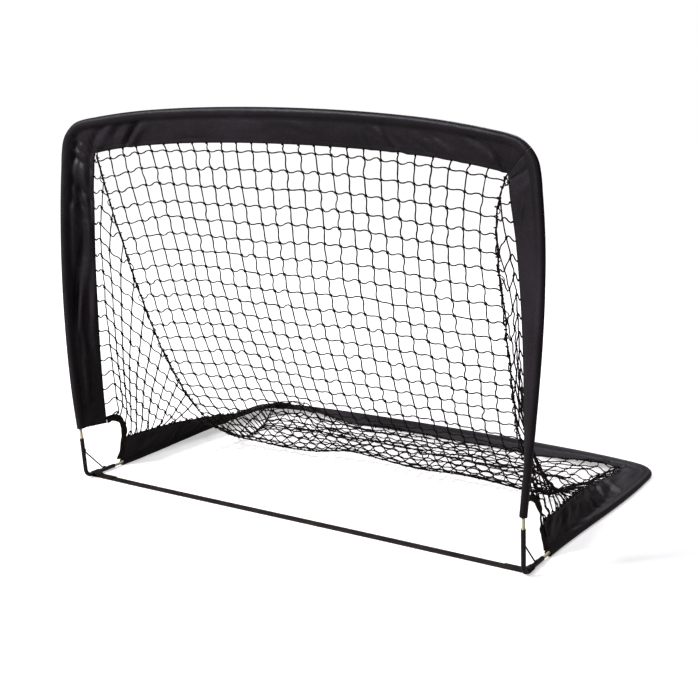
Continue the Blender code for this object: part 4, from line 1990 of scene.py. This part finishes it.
@dataclass
class SideNet:
    """The panel between a post, a side of the ground frame and the seam."""

    shape: GoalShape
    knot: Knot
    side: Side
    step: float
    row_step: float = 0.0370
    descent: tuple[float, float] = (1.05, 0.55)
    bowed_columns: float = 9.0
    cut_z: float = 0.095
    hangs_before_y: float = 0.45
    height: float = 0.95
    uneven: float = 0.0036
    bulge: float = 0.0040
    off_foot: float = 0.010
    off_seam: float = 0.007
    foot_lace_r: float = 0.0032
    post_lace_r: float = 0.0030
    ahead: float = 0.012
    behind_foot: float = 0.006
    first_row_up: float = 0.012
    off_top: float = 0.015
    seam_drop: float = 0.010
    sway: float = 0.0012
    mesh_dip: float = 0.0030
    dip_spread: float = 0.0010
    seed: int = 31

    def __post_init__(self) -> None:
        """Works out the post sleeve's edge, the tape's and ground sleeve's edge, and the seam."""
        shape = self.shape
        self.post = shape.post_band().stations(BAND_STEP).tips
        ground = shape.side_band().stations(BAND_STEP).tips
        tape = shape.tape_line()
        wide = unit(np.cross(ACROSS, tangents(tape)))
        around = (tape + wide * shape.tape_width / 2)[1:14]
        self.lower = np.concatenate((around, ground[ground[:, 1] > around[-1, 1]]))
        self.seam = shape.seam(self.side)
        self.foot_z = float(self.post[0, 2])

    def post_at(self, z: Any) -> np.ndarray:
        """The post sleeve's edge at a height."""
        return read_off(self.post, self.post[:, 2], z)

    def seam_at(self, z: float) -> np.ndarray:
        """The seam at a height.

        Args:
            z: the height.

        Returns:
            The seam's point there.
        """
        rising = self.seam[::-1]
        hanging = rising[rising[:, 1] < self.hangs_before_y]
        return read_off(hanging, hanging[:, 2], z)

    def columns(self) -> list[np.ndarray]:
        """The strands that run from the ground sleeve up to the seam, from the post back.

        Returns:
            The points of each strand, from the foot up.
        """
        behind_low = self.lower[:, 1] - float(self.post[0, 1]) - self.behind_foot
        edge = self.post_at(self.seam[:, 2])
        gap = self.seam - edge
        apart = np.hypot(gap[:, 0], gap[:, 1])
        apart = np.maximum.accumulate(np.where(self.seam[:, 2] > self.foot_z, apart, 0))
        back = self.seam[:, 1] - float(self.post[0, 1])
        apart = np.maximum.accumulate(np.maximum(apart, back))
        found = []
        for j in range(1, int(min(behind_low[-1], apart[-1]) / self.step) + 1):
            off = j * self.step
            low = read_off(self.lower, behind_low, off)
            high = read_off(self.seam, apart, off)
            share = np.linspace(0, 1, 25)[:, None]
            line = mix(low, high, share)
            chord_share = (line[:, 2] - self.foot_z) / (self.post[-1, 2] - self.foot_z)
            chord = mix(self.post[0], self.post[-1], np.clip(chord_share, 0, 1)[:, None])
            bow = (self.post_at(line[:, 2]) - chord) * (line[:, 2] > self.foot_z)[:, None]
            keep = max(0.0, 1 - j / self.bowed_columns) * (1 - smooth((share - 0.8) / 0.2))
            bow[:, 2] = 0
            found.append(line + bow * keep)
        return found

    def build(self, finish: bpy.types.Material) -> tuple[bpy.types.Object, bpy.types.Object]:
        """Makes the panel as an upper piece, which goes with the arch, and a low one.

        Args:
            finish: the twine's material.

        Returns:
            The upper and the low piece.
        """
        seed = self.seed + self.side.value
        foot = Netting(self.knot, seed)
        net = Netting(self.knot, seed, below=foot, cut_z=self.cut_z)
        drift = Drift(seed + 50)
        columns = self.columns()
        rows = int(self.height / self.row_step)
        heights = drift.field((len(columns), rows), (1.5, 1.2)) * self.uneven
        bulge = drift.field((len(columns), rows), (1.6, 1.8)) * self.bulge
        places = np.empty((len(columns), rows))
        knots: dict[tuple[int, int], np.ndarray] = {}
        for j, column in enumerate(columns):
            reach = lengths(column)[-1]
            back = j * self.step
            on_floor = smooth((back - 0.25) / 0.2)
            fall = self.descent[0] * back - self.descent[1] * back**2
            start = self.foot_z + 0.004 + 0.5 * self.descent[0] * self.step - float(column[0, 2])
            places[j] = (start + np.arange(rows) * self.row_step - fall + heights[j]) / reach
            line = [column[0] - (column[1] - column[0]) * 0.05]
            off = places[j] * reach
            for k in np.flatnonzero((off > self.off_foot) & (off < reach - self.off_seam)):
                at = along(column, off[k]) + ACROSS * bulge[j, k]
                at[2] = max(at[2] + abs(bulge[j, k]) * 2.0 * on_floor, 0.0024)
                knots[j, int(k)] = at
                line.append(at)
            line.append(column[-1])
            drawn = net.random.normal(size=(len(line) - 1, 1))
            sway = (ACROSS * 0.4 + BACK)[None] * drawn * self.sway
            net.through(self.side.turn(np.array(line)), 4, self.side.turn(sway))
            way = column[1] - column[0]
            edge, up, back_way = (self.side.turn(vector) for vector in (column[0], way, BACK))
            net.loop(edge, up, back_way, self.foot_lace_r)
            for at in line[1:-1]:
                net.knot(self.side.turn(at), self.side.turn(BACK - UP * 0.5), up)
        for k in range(rows):
            self.row(net, k, knots, places)
        name = f"{self.side.label}_side_netting"
        return net.done(name, finish), foot.done(f"{name}_foot", finish)

    def row(
        self, net: Netting, k: int, knots: dict[tuple[int, int], np.ndarray], places: np.ndarray
    ) -> None:
        """Adds one strand that runs back and down, in as many stretches as it is in the panel.

        Args:
            net: the piece it is added to.
            k: its number, from the foot up.
            knots: the panel's knots, by column and strand.
            places: for each column and strand, how far up the column they cross.
        """
        z = self.foot_z + self.first_row_up + k * self.row_step
        stretch: list[np.ndarray] = []
        if z < float(self.post[-1, 2]) - self.off_top:
            edge = self.post_at(z)
            stretch = [edge]
            way = self.side.turn(BACK - ACROSS * 0.4)
            net.loop(self.side.turn(edge), way, self.side.turn(UP), self.post_lace_r)
            if (0, k) not in knots:
                self.stretch(net, [edge, self.seam_at(z - self.seam_drop)])
                stretch = []
        for j in range(len(places)):
            if (j, k) in knots:
                if not stretch and j > 0:
                    stretch = [self.edge_near(knots[j, k], places[j - 1, k] > 0.5, -self.ahead)]
                stretch.append(knots[j, k])
            elif stretch:
                stretch.append(self.edge_near(stretch[-1], places[j, k] > 0.5, self.ahead))
                self.stretch(net, stretch)
                stretch = []
        self.stretch(net, stretch)

    def edge_near(self, near: np.ndarray, above: bool, ahead: float) -> np.ndarray:
        """Where a strand ends at the edge of the panel.

        Args:
            near: its last point before the edge.
            above: if it ends at the seam, and not at the ground sleeve.
            ahead: how far on it ends, along y.

        Returns:
            The point of the edge.
        """
        line = self.seam if above else self.lower
        y = float(near[1]) + ahead * (0.5 if above else 1.0)
        return read_off(line, line[:, 1], y)

    def stretch(self, net: Netting, points: list[np.ndarray]) -> None:
        """Adds one stretch of a strand, with a little slack in each mesh.

        Args:
            net: the piece it is added to.
            points: the points it passes, as if on the right.
        """
        if len(points) < 2:
            return
        line = self.side.turn(np.array(points))
        swing = net.random.normal(size=(len(line) - 1, 1)) * self.dip_spread + self.mesh_dip
        net.through(line, 5, -UP[None] * swing)


@dataclass
class SeamCord:
    """Two twisted twines along the seam, lashed with loops, ragged here and there."""

    shape: GoalShape
    knot: Knot
    side: Side
    radius: float = 0.0011
    twist_r: float = 0.0011
    pitch: float = 0.021
    lash: float = 0.020
    lash_r: float = 0.0036
    step: float = 0.004
    wander: float = 0.0011
    floor_z: float = 0.0036
    cut_share: float = 1.02
    slack_ends: float = 0.22
    seed: int = 61

    def build(self, finish: bpy.types.Material) -> tuple[bpy.types.Object, bpy.types.Object]:
        """Makes the cord as an upper and a lower piece.

        Args:
            finish: its material.

        Returns:
            The upper and the lower piece.
        """
        seam = self.shape.seam(self.side)
        total = lengths(seam)[-1]
        where = np.linspace(self.step, total - self.step, int(total / self.step))
        line = along(seam, where)
        drift = Drift(self.seed + self.side.value)
        for axis in range(3):
            line[:, axis] += drift.field((len(line),), (4.0,)) * self.wander
        line[:, 2] = np.maximum(line[:, 2], self.floor_z)
        cut = int(np.argmax(fold_share(line) >= self.cut_share))
        ways = tangents(line)
        side = unit(np.cross(ways, ACROSS))
        other = np.cross(ways, side)
        pieces = []
        for label, part in (("upper", slice(0, cut + 1)), ("lower", slice(cut, None))):
            net = Netting(self.knot, self.seed + 5 * self.side.value, self.radius)
            turn = 2 * math.pi * where[part, None] / self.pitch
            for phase, size in ((0.0, 1.0), (2.2, 1.0), (4.1, 0.9)):
                loose = 1 + 0.45 * drift.field((len(turn),), (5.0,))[:, None]
                off = side[part] * np.cos(turn + phase) + other[part] * np.sin(turn + phase)
                strand = line[part] + off * self.twist_r * size * np.clip(loose, 0.3, 2.4)
                strand[:, 2] = np.maximum(strand[:, 2], self.radius)
                net.twine(self.side.turn(strand))
            self.lashings(net, line[part], ways[part])
            pieces.append(net.done(f"{self.side.label}_seam_{label}", finish))
        return pieces[0], pieces[1]

    def lashings(self, net: Netting, line: np.ndarray, ways: np.ndarray) -> None:
        """Adds the loops round the cord, and a few slack ends of twine beside it.

        Args:
            net: the piece they are added to.
            line: the cord's points, as if on the right.
            ways: its way at each point.
        """
        for k in range(2, len(line) - 2, int(self.lash / self.step)):
            out = np.cross(ways[k], BACK + UP * 0.3)
            turned = [self.side.turn(vector) for vector in (line[k], out, ways[k])]
            net.loop(*turned, self.lash_r)
            if net.random.uniform() < self.slack_ends:
                slack = float(net.random.uniform(0.005, 0.010))
                turn = np.linspace(0, math.pi, 9)[:, None]
                sign = 1 if net.random.uniform() < 0.5 else -1
                bow = (
                    line[k] + ways[k] * (1 - np.cos(turn)) * slack
                    + unit(np.cross(ways[k], BACK)) * np.sin(turn) * slack * sign
                )
                bow[:, 2] = np.maximum(bow[:, 2], self.radius)
                net.twine(self.side.turn(bow))


@dataclass
class FrontElbow:
    """The bent steel tube of a front corner, with its wire brace and weld beads."""

    shape: GoalShape
    side: Side
    wall: float = 0.001
    brace_r: float = 0.0017
    brace_up: float = 0.060
    brace_back: float = 0.058
    brace_end: float = 0.009
    brace_bend_r: float = 0.006
    bead_r: float = 0.0024
    sunk: float = 0.22

    def tube(self, finish: bpy.types.Material) -> bpy.types.Object:
        """Models the tube: a circle drawn down the upright leg, spun and drawn back.

        Args:
            finish: its material.

        Returns:
            The tube.
        """
        shape = self.shape
        corner, mouth = self.side.turn(shape.elbow_corner), self.side.turn(shape.post_mouth)
        angle = math.acos(float(-shape.leg_way @ BACK))
        setback = shape.elbow_bend_r * math.tan(angle / 2)
        start = corner + shape.leg_way * setback
        inwards = unit(BACK - shape.leg_way * float(shape.leg_way @ BACK))
        middle = start + inwards * shape.elbow_bend_r
        deselect()
        bpy.ops.mesh.primitive_circle_add(
            vertices=32, radius=shape.tube_r, fill_type="NOTHING",
            location=tuple(mouth), rotation=(shape.arch_lean, 0, 0),
        )
        obj = bpy.context.object
        bpy.ops.object.transform_apply(location=True, rotation=True, scale=True)
        bpy.ops.object.mode_set(mode="EDIT")
        bpy.ops.mesh.select_all(action="SELECT")
        bpy.ops.mesh.extrude_region_move(
            TRANSFORM_OT_translate={"value": tuple(start - mouth)}
        )
        bpy.ops.mesh.spin(steps=14, angle=-angle, center=tuple(middle), axis=(1, 0, 0))
        rest = shape.elbow_back - setback
        bpy.ops.mesh.extrude_region_move(TRANSFORM_OT_translate={"value": (0, rest, 0)})
        bpy.ops.mesh.select_all(action="SELECT")
        bpy.ops.mesh.remove_doubles(threshold=0.00001)
        bpy.ops.mesh.normals_make_consistent(inside=False)
        bpy.ops.object.mode_set(mode="OBJECT")
        obj.name = f"{self.side.label}_corner_tube"
        shell = obj.modifiers.new("wall", "SOLIDIFY")
        shell.thickness = self.wall
        shell.offset = -1
        lip = obj.modifiers.new("lip", "BEVEL")
        lip.width = 0.0003
        lip.segments = 2
        apply_modifiers(obj)
        bpy.ops.object.shade_smooth_by_angle(angle=math.radians(40))
        obj.data.materials.append(finish)
        return obj

    def brace(self, finish: bpy.types.Material) -> bpy.types.Object:
        """Makes the wire with its two welds.

        Args:
            finish: their material.

        Returns:
            The wire.
        """
        shape = self.shape
        off = shape.tube_r + self.brace_r + GAP
        leg = shape.leg_way
        behind_leg = np.array((0.0, leg[2], -leg[1])) * off
        top = shape.elbow_corner + leg * self.brace_up + behind_leg
        foot = shape.elbow_corner + BACK * self.brace_back + UP * off
        way = unit(foot - top)
        line = np.concatenate((
            [top + leg * self.brace_end], fillet(top, -leg, way, self.brace_bend_r, 6),
            fillet(foot, way, BACK, self.brace_bend_r, 6), [foot + BACK * self.brace_end],
        ))
        tubes = Tubes(12)
        tubes.strand(self.side.turn(line), self.brace_r)
        deselect()
        bpy.ops.mesh.primitive_uv_sphere_add(segments=12, ring_count=8, radius=self.bead_r)
        bead = taken(bpy.context.object)
        for at, way_of in (
            (top + leg * self.brace_end * 0.7 - behind_leg * self.sunk, leg),
            (foot + BACK * self.brace_end * 0.7 - UP * off * self.sunk, BACK),
        ):
            third = unit(np.cross(way_of, ACROSS))
            turn = np.stack((ACROSS * 0.95, way_of * 1.9, third * 0.8), axis=1)
            tubes.stamp(bead, turn, self.side.turn(at))
        obj = tubes.mesh_object(f"{self.side.label}_corner_brace", finish)
        face_outwards(obj)
        return obj


@dataclass
class Studio:
    """Camera, floor, lights and the white surroundings."""

    place: Point = (1.408, -2.1445, 0.940)
    pan: float = math.radians(30.45)
    tilt: float = math.radians(12.14)
    roll: float = math.radians(0.74)
    sensor: float = 36.0
    lens: float = sensor * 1210 / 698
    clip_end: float = 60.0
    floor_width: float = 40.0
    world: float = 0.075
    world_tint: Point = (1.0, 0.86, 0.80)
    lamp_tint: Point = (0.97, 0.955, 1.0)
    lamps: tuple[tuple[Point, Point, float, float], ...] = (
        ((-2.4, -3.6, 3.4), (0.0, 0.1, 0.6), 1.3, 370.0),
        ((2.6, -1.8, 2.2), (0.2, 0.2, 0.7), 0.9, 9.0),
        ((0.0, 2.2, 2.8), (0.0, 0.5, 0.3), 1.4, 64.0),
    )

    @staticmethod
    def set_down(obj: bpy.types.Object, place: Point, axes: tuple[np.ndarray, ...]) -> None:
        """Puts a camera or lamp in its place, with these as its own axes."""
        turn = Matrix(np.stack(axes, axis=1).tolist()).to_4x4()
        obj.matrix_world = Matrix.Translation(place) @ turn

    def camera(self) -> None:
        """Makes the photo's camera."""
        forward = direction(
            -math.sin(self.pan) * math.cos(self.tilt), math.cos(self.pan) * math.cos(self.tilt),
            -math.sin(self.tilt),
        )
        right = unit(np.cross(forward, UP))
        up = np.cross(right, forward)
        turned_right = right * math.cos(self.roll) + up * math.sin(self.roll)
        turned_up = up * math.cos(self.roll) - right * math.sin(self.roll)
        data = bpy.data.cameras.new("camera")
        data.sensor_width = self.sensor
        data.lens = self.lens
        data.clip_end = self.clip_end
        camera = bpy.data.objects.new("camera", data)
        bpy.context.scene.collection.objects.link(camera)
        self.set_down(camera, self.place, (turned_right, turned_up, -forward))
        bpy.context.scene.camera = camera

    def floor(self, finish: bpy.types.Material) -> None:
        """Makes the floor.

        Args:
            finish: its material.
        """
        deselect()
        bpy.ops.mesh.primitive_plane_add(size=self.floor_width)
        ground = bpy.context.object
        ground.name = "studio_floor"
        ground.data.materials.append(finish)

    def surroundings(self) -> None:
        """Makes the white world: plain white to the camera, softer as a light."""
        world = bpy.data.worlds.new("surroundings")
        world.use_nodes = True
        tree = world.node_tree
        sky = tree.nodes["Background"]
        rays = tree.nodes.new("ShaderNodeLightPath")
        level = tree.nodes.new("ShaderNodeMix")
        level.inputs[2].default_value = self.world
        level.inputs[3].default_value = 1.0
        tree.links.new(rays.outputs["Is Camera Ray"], level.inputs[0])
        tree.links.new(level.outputs[0], sky.inputs["Strength"])
        tint = tree.nodes.new("ShaderNodeMix")
        tint.data_type = "RGBA"
        tint.inputs[6].default_value = (*self.world_tint, 1)
        tint.inputs[7].default_value = (1, 1, 1, 1)
        tree.links.new(rays.outputs["Is Camera Ray"], tint.inputs["Factor"])
        tree.links.new(tint.outputs[2], sky.inputs["Color"])
        bpy.context.scene.world = world

    def lights(self) -> None:
        """Makes the soft lamps."""
        for number, (place, aim, size, power) in enumerate(self.lamps):
            data = bpy.data.lights.new(f"lamp_{number}", "AREA")
            data.shape = "SQUARE"
            data.size = size
            data.energy = power
            data.color = self.lamp_tint
            lamp = bpy.data.objects.new(data.name, data)
            bpy.context.scene.collection.objects.link(lamp)
            back = unit(np.array(place) - np.array(aim))
            right = unit(np.cross(UP, back))
            self.set_down(lamp, place, (right, np.cross(back, right), back))

    def set_up(self) -> None:
        """Makes everything round the goal."""
        self.camera()
        self.floor(PaleFloor("studio_floor").make())
        self.surroundings()
        self.lights()
        bpy.context.scene.view_settings.view_transform = "Standard"


class Goal:
    """The whole goal: builds each sub-assembly, dresses it and joins some of them to their bodies.
    """

    def __init__(self, nodes: dict[str, bpy.types.Object]) -> None:
        """Takes the CAD nodes and makes the finishes.

        Args:
            nodes: the CAD nodes by name.
        """
        self.nodes = nodes
        self.shape = GoalShape()
        self.knot = Knot()
        self.cloth = SleeveCloth("sleeve_looks").make()
        self.tape = Webbing(
            "tape_looks", colour=(0.0085, 0.0075, 0.0065), light=(0.028, 0.024, 0.017),
            stitch_lines=(0.0050,), rib=0.0016,
        ).make()
        self.webbing = Webbing("strap_looks").make()
        self.twine = Twine("net_looks").make()
        self.seam_twine = Twine("seam_looks", colour=(0.012, 0.010, 0.0095)).make()
        self.steel = PaintedSteel("elbow_looks").make()
        self.wire = PaintedSteel("brace_looks", roughness=0.42).make()
        self.fibre = GlassFibre("rod_looks").make()
        self.ferrule = PlainSteel("ferrule_looks").make()

    @staticmethod
    def stand_for(obj: bpy.types.Object, slot: str, *nodes: str) -> bpy.types.Object:
        """Hides the CAD nodes that a piece stands for, and logs the piece's number of faces.

        Args:
            obj: the piece.
            slot: the record's material slot; not used.
            *nodes: the CAD nodes.

        Returns:
            The piece.
        """
        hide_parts(*nodes)
        LOG.info("%s: %d faces", obj.name, len(obj.data.polygons))
        return obj

    @staticmethod
    def sewn(obj: bpy.types.Object, sleeve: Sleeve, held: str, *rods: str) -> None:
        """Takes a sleeve and the rods it holds and does nothing with them; the sleeve is a sewn
        tube that is 85 mm wide when it lies flat.
        """

    def arch_cloth(self) -> None:
        """The crossbar's and the posts' sleeves."""

        def bar_slack(at: np.ndarray) -> np.ndarray:
            """More spare cloth towards the corners than in the middle."""
            return 0.10 + 0.65 * np.abs(2 * at - 1) ** 2.2

        def post_slack(at: np.ndarray) -> np.ndarray:
            """Spare cloth along the post, with more at its upper end."""
            return 0.30 + 0.55 * smooth((at - 0.62) / 0.3)

        bar_folds = (
            Folds(8, 0.01, 0.19, -0.65, length=0.110, width=0.0090, height=0.0052),
            Folds(11, 0.66, 0.98, 0.70, length=0.095, height=0.0034),
            Folds(7, 0.20, 0.66, 0.25, length=0.13, width=0.009, height=0.0014),
        )
        over_bar = Sleeve("crossbar_cloth", self.shape.crossbar_band(), 3, bar_slack, bar_folds)
        top = over_bar.build(self.cloth)
        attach(self.stand_for(top, "sleeve_cloth", "top_sleeve"), "front_arch")
        self.sewn(top, over_bar, "stretched", "left_top_rod", "right_top_rod")
        for side in Side:
            band = self.shape.post_band().turned(side)
            name = f"{side.label}_post_cloth"
            over_post = Sleeve(
                name, band, 5 + side.value, post_slack, self.post_folds(side), first_open=True
            )
            post = over_post.build(self.cloth)
            self.sewn(post, over_post, "stretched", f"{side.label}_post_rod")
            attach(self.stand_for(post, "sleeve_cloth", f"{side.label}_post_sleeve"), "front_arch")
            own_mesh(post)

    @staticmethod
    def post_folds(side: Side) -> tuple[Folds, ...]:
        """Long folds down the left post, and a smoother right one.

        Args:
            side: which post.

        Returns:
            The families of folds.
        """
        if side is Side.LEFT:
            return (
                Folds(10, 0.05, 0.95, 0.06, 0.10, length=0.28, width=0.0080, height=0.0060),
                Folds(7, 0.72, 0.97, -0.95, length=0.120, width=0.0085, height=0.0060),
                Folds(5, 0.02, 0.30, 0.5, length=0.070, height=0.0022),
            )
        return (
            Folds(5, 0.05, 0.90, 0.03, 0.08, length=0.24, width=0.0080, height=0.0022),
            Folds(5, 0.80, 0.98, -0.70, length=0.060, height=0.0024),
        )

    def ground_cloth(self) -> None:
        """The sleeves of the ground frame."""

        def ground_slack(at: np.ndarray) -> np.ndarray:
            """Plenty of spare cloth, as these lie bunched up."""
            return np.full_like(at, 0.75)

        def rear_slack(at: np.ndarray) -> np.ndarray:
            """Spare cloth at the corners and little between them."""
            return 0.30 + 0.60 * np.abs(2 * at - 1) ** 3

        for side in Side:
            band = self.shape.of(side).side_band().turned(side)
            name = f"{side.label}_ground_cloth"
            folds = (
                Folds(15, 0.01, 0.72, 1.00, 0.45, length=0.080, width=0.0100, height=0.0038),
                Folds(8, 0.05, 0.95, 0.20, 0.20, length=0.15, width=0.0100, height=0.0032),
            )
            over_side = Sleeve(
                name, band, 15 + side.value, ground_slack, folds, first_open=True, edge_hold=0.6,
            )
            made = over_side.build(self.cloth)
            self.sewn(made, over_side, "gathered", f"{side.label}_ground_rod")
            self.stand_for(made, "sleeve_cloth", f"{side.label}_ground_sleeve")
            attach(made, "ground_frame")
        rear_folds = (
            Folds(8, 0.01, 0.10, 0.9, 0.4, length=0.055, height=0.0036),
            Folds(8, 0.90, 0.99, 0.9, 0.4, length=0.055, height=0.0036),
            Folds(14, 0.08, 0.92, 0.25, 0.35, length=0.11, width=0.008, height=0.0020),
        )
        over_rear = Sleeve("rear_cloth", self.shape.rear_band(), 21, rear_slack, rear_folds)
        rear = over_rear.build(self.cloth)
        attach(self.stand_for(rear, "sleeve_cloth", "rear_sleeve"), "ground_frame")
        self.sewn(rear, over_rear, "stretched", "left_rear_rod", "right_rear_rod")

    def nets(self) -> None:
        """The net's three panels and the seam cords between them."""
        hanging, laid, shared_y = RearNet(self.shape, self.knot).build(self.twine)
        self.stand_for(hanging, "net_cord", "rear_net")
        self.stand_for(laid, "net_cord", "rear_net")
        self.bend(hanging, laid, shared_y)
        for side in Side:
            shape = self.shape.of(side)
            panel, foot = SideNet(shape, self.knot, side, side.net_step).build(self.twine)
            node = f"{side.label}_side_net"
            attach(self.stand_for(panel, "net_cord", node), "post_feet")
            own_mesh(panel)
            self.stand_for(foot, "net_cord", node)
            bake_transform(foot)
            upper, lower = SeamCord(shape, self.knot, side).build(self.seam_twine)
            self.stand_for(upper, "seam_cord", f"{side.label}_seam_cord")
            self.stand_for(lower, "seam_cord", f"{side.label}_seam_cord")
            self.bend(upper, lower, shared_y)

    @staticmethod
    def bend(upper: bpy.types.Object, lower: bpy.types.Object, shared_y: float) -> None:
        """Bakes the transforms of an upper piece and a lower piece into their meshes.

        Args:
            upper: the piece that hangs.
            lower: the piece on the floor.
            shared_y: the furthest y of where they meet.
        """
        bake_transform(upper)
        start = (0.0, shared_y + 0.01, 0.03)
        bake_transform(lower)

    def tapes(self) -> None:
        """The binding tapes at the front corners."""
        for side in Side:
            drift = Drift(41 + side.value)
            line = self.shape.tape_line()
            at = lengths(line)
            line = curve_through(line, at, np.linspace(0, at[-1], 61))
            wide = np.cross(ACROSS, tangents(line))
            line = line + ACROSS * drift.field((len(line), 1), (2.2, 0)) * 0.0011
            wide = wide + ACROSS * drift.field((len(line), 1), (2.5, 0)) * 0.16
            turned, widths = side.turn(line), side.turn(wide)
            strip = Strip(f"{side.label}_tape", turned, widths, *TAPE_SIZE)
            made = self.stand_for(strip.build(self.tape), "binding_tape", f"{side.label}_binding")
            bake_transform(made)

    def strap(self) -> None:
        """The webbing along the goal line, looped round both elbows."""
        shape = self.shape
        loop_r = shape.tube_r + GAP + HALF_STRAP
        turn = np.linspace(-math.pi / 2, math.radians(125), 15)
        loop = np.stack((
            shape.half_span + loop_r * np.cos(turn), 0 * turn,
            shape.ground_z + loop_r * np.sin(turn),
        ), axis=1)
        tab_z = 3 * HALF_STRAP + GAP
        tab_x = shape.half_span - 0.018
        tab = np.array([
            (tab_x + 0.004, 0, tab_z + 0.0012), (tab_x, 0, tab_z),
            (tab_x - 0.02, 0, tab_z), (tab_x - 0.040, 0, tab_z),
        ])
        stations = np.arange(0, shape.half_span - 0.004, 0.01)
        middle = np.array([(x, 0, HALF_STRAP) for x in stations])
        right = np.concatenate((middle, loop, tab))
        line = np.concatenate((Side.LEFT.turn(right)[:0:-1], right))
        wave = np.interp(np.abs(line[:, 0]), (0.0, 0.45, 0.52), (1.0, 1.0, 0.0))
        line[:, 1] += wave * np.sin(line[:, 0] * 5.2 + 0.6) * 0.0012
        wide = np.tile(BACK, (len(line), 1))
        strip = Strip("goal_line_webbing", line, wide, STRAP_WIDTH, 2 * HALF_STRAP)
        made = self.stand_for(strip.build(self.webbing), "strap_webbing", "goal_line_strap")
        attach(made, "ground_frame")

    def elbows(self) -> None:
        """The steel corners."""
        for side in Side:
            elbow = FrontElbow(self.shape, side)
            tube = self.stand_for(elbow.tube(self.steel), "black_steel", f"{side.label}_base_elbow")
            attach(tube, "ground_frame")
            wire = self.stand_for(elbow.brace(self.wire), "brace_wire", f"{side.label}_elbow_brace")
            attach(wire, "ground_frame")

    def rods(self) -> None:
        """Dresses the CAD pieces that stay: rods, inner elbows and ferrules."""
        for name, node in self.nodes.items():
            if node.hide_render:
                continue
            if name.endswith("ferrule"):
                finish, slot = self.ferrule, "ferrule_steel"
            elif name.endswith("elbow"):
                finish, slot = self.steel, "black_steel"
            else:
                finish, slot = self.fibre, "glass_fibre"
            dress_node(node, finish)

    def build(self) -> None:
        """Builds all of it, in order."""
        self.elbows()
        self.strap()
        self.arch_cloth()
        self.ground_cloth()
        self.tapes()
        self.nets()
        self.rods()


def main() -> None:
    """Builds the goal in the CAD model's frame and sets up the studio."""
    logging.basicConfig(level=logging.INFO, format="%(message)s", stream=sys.stdout)
    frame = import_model()
    Goal(frame["nodes"]).build()
    Studio().set_up()


if __name__ == "__main__":
    main()
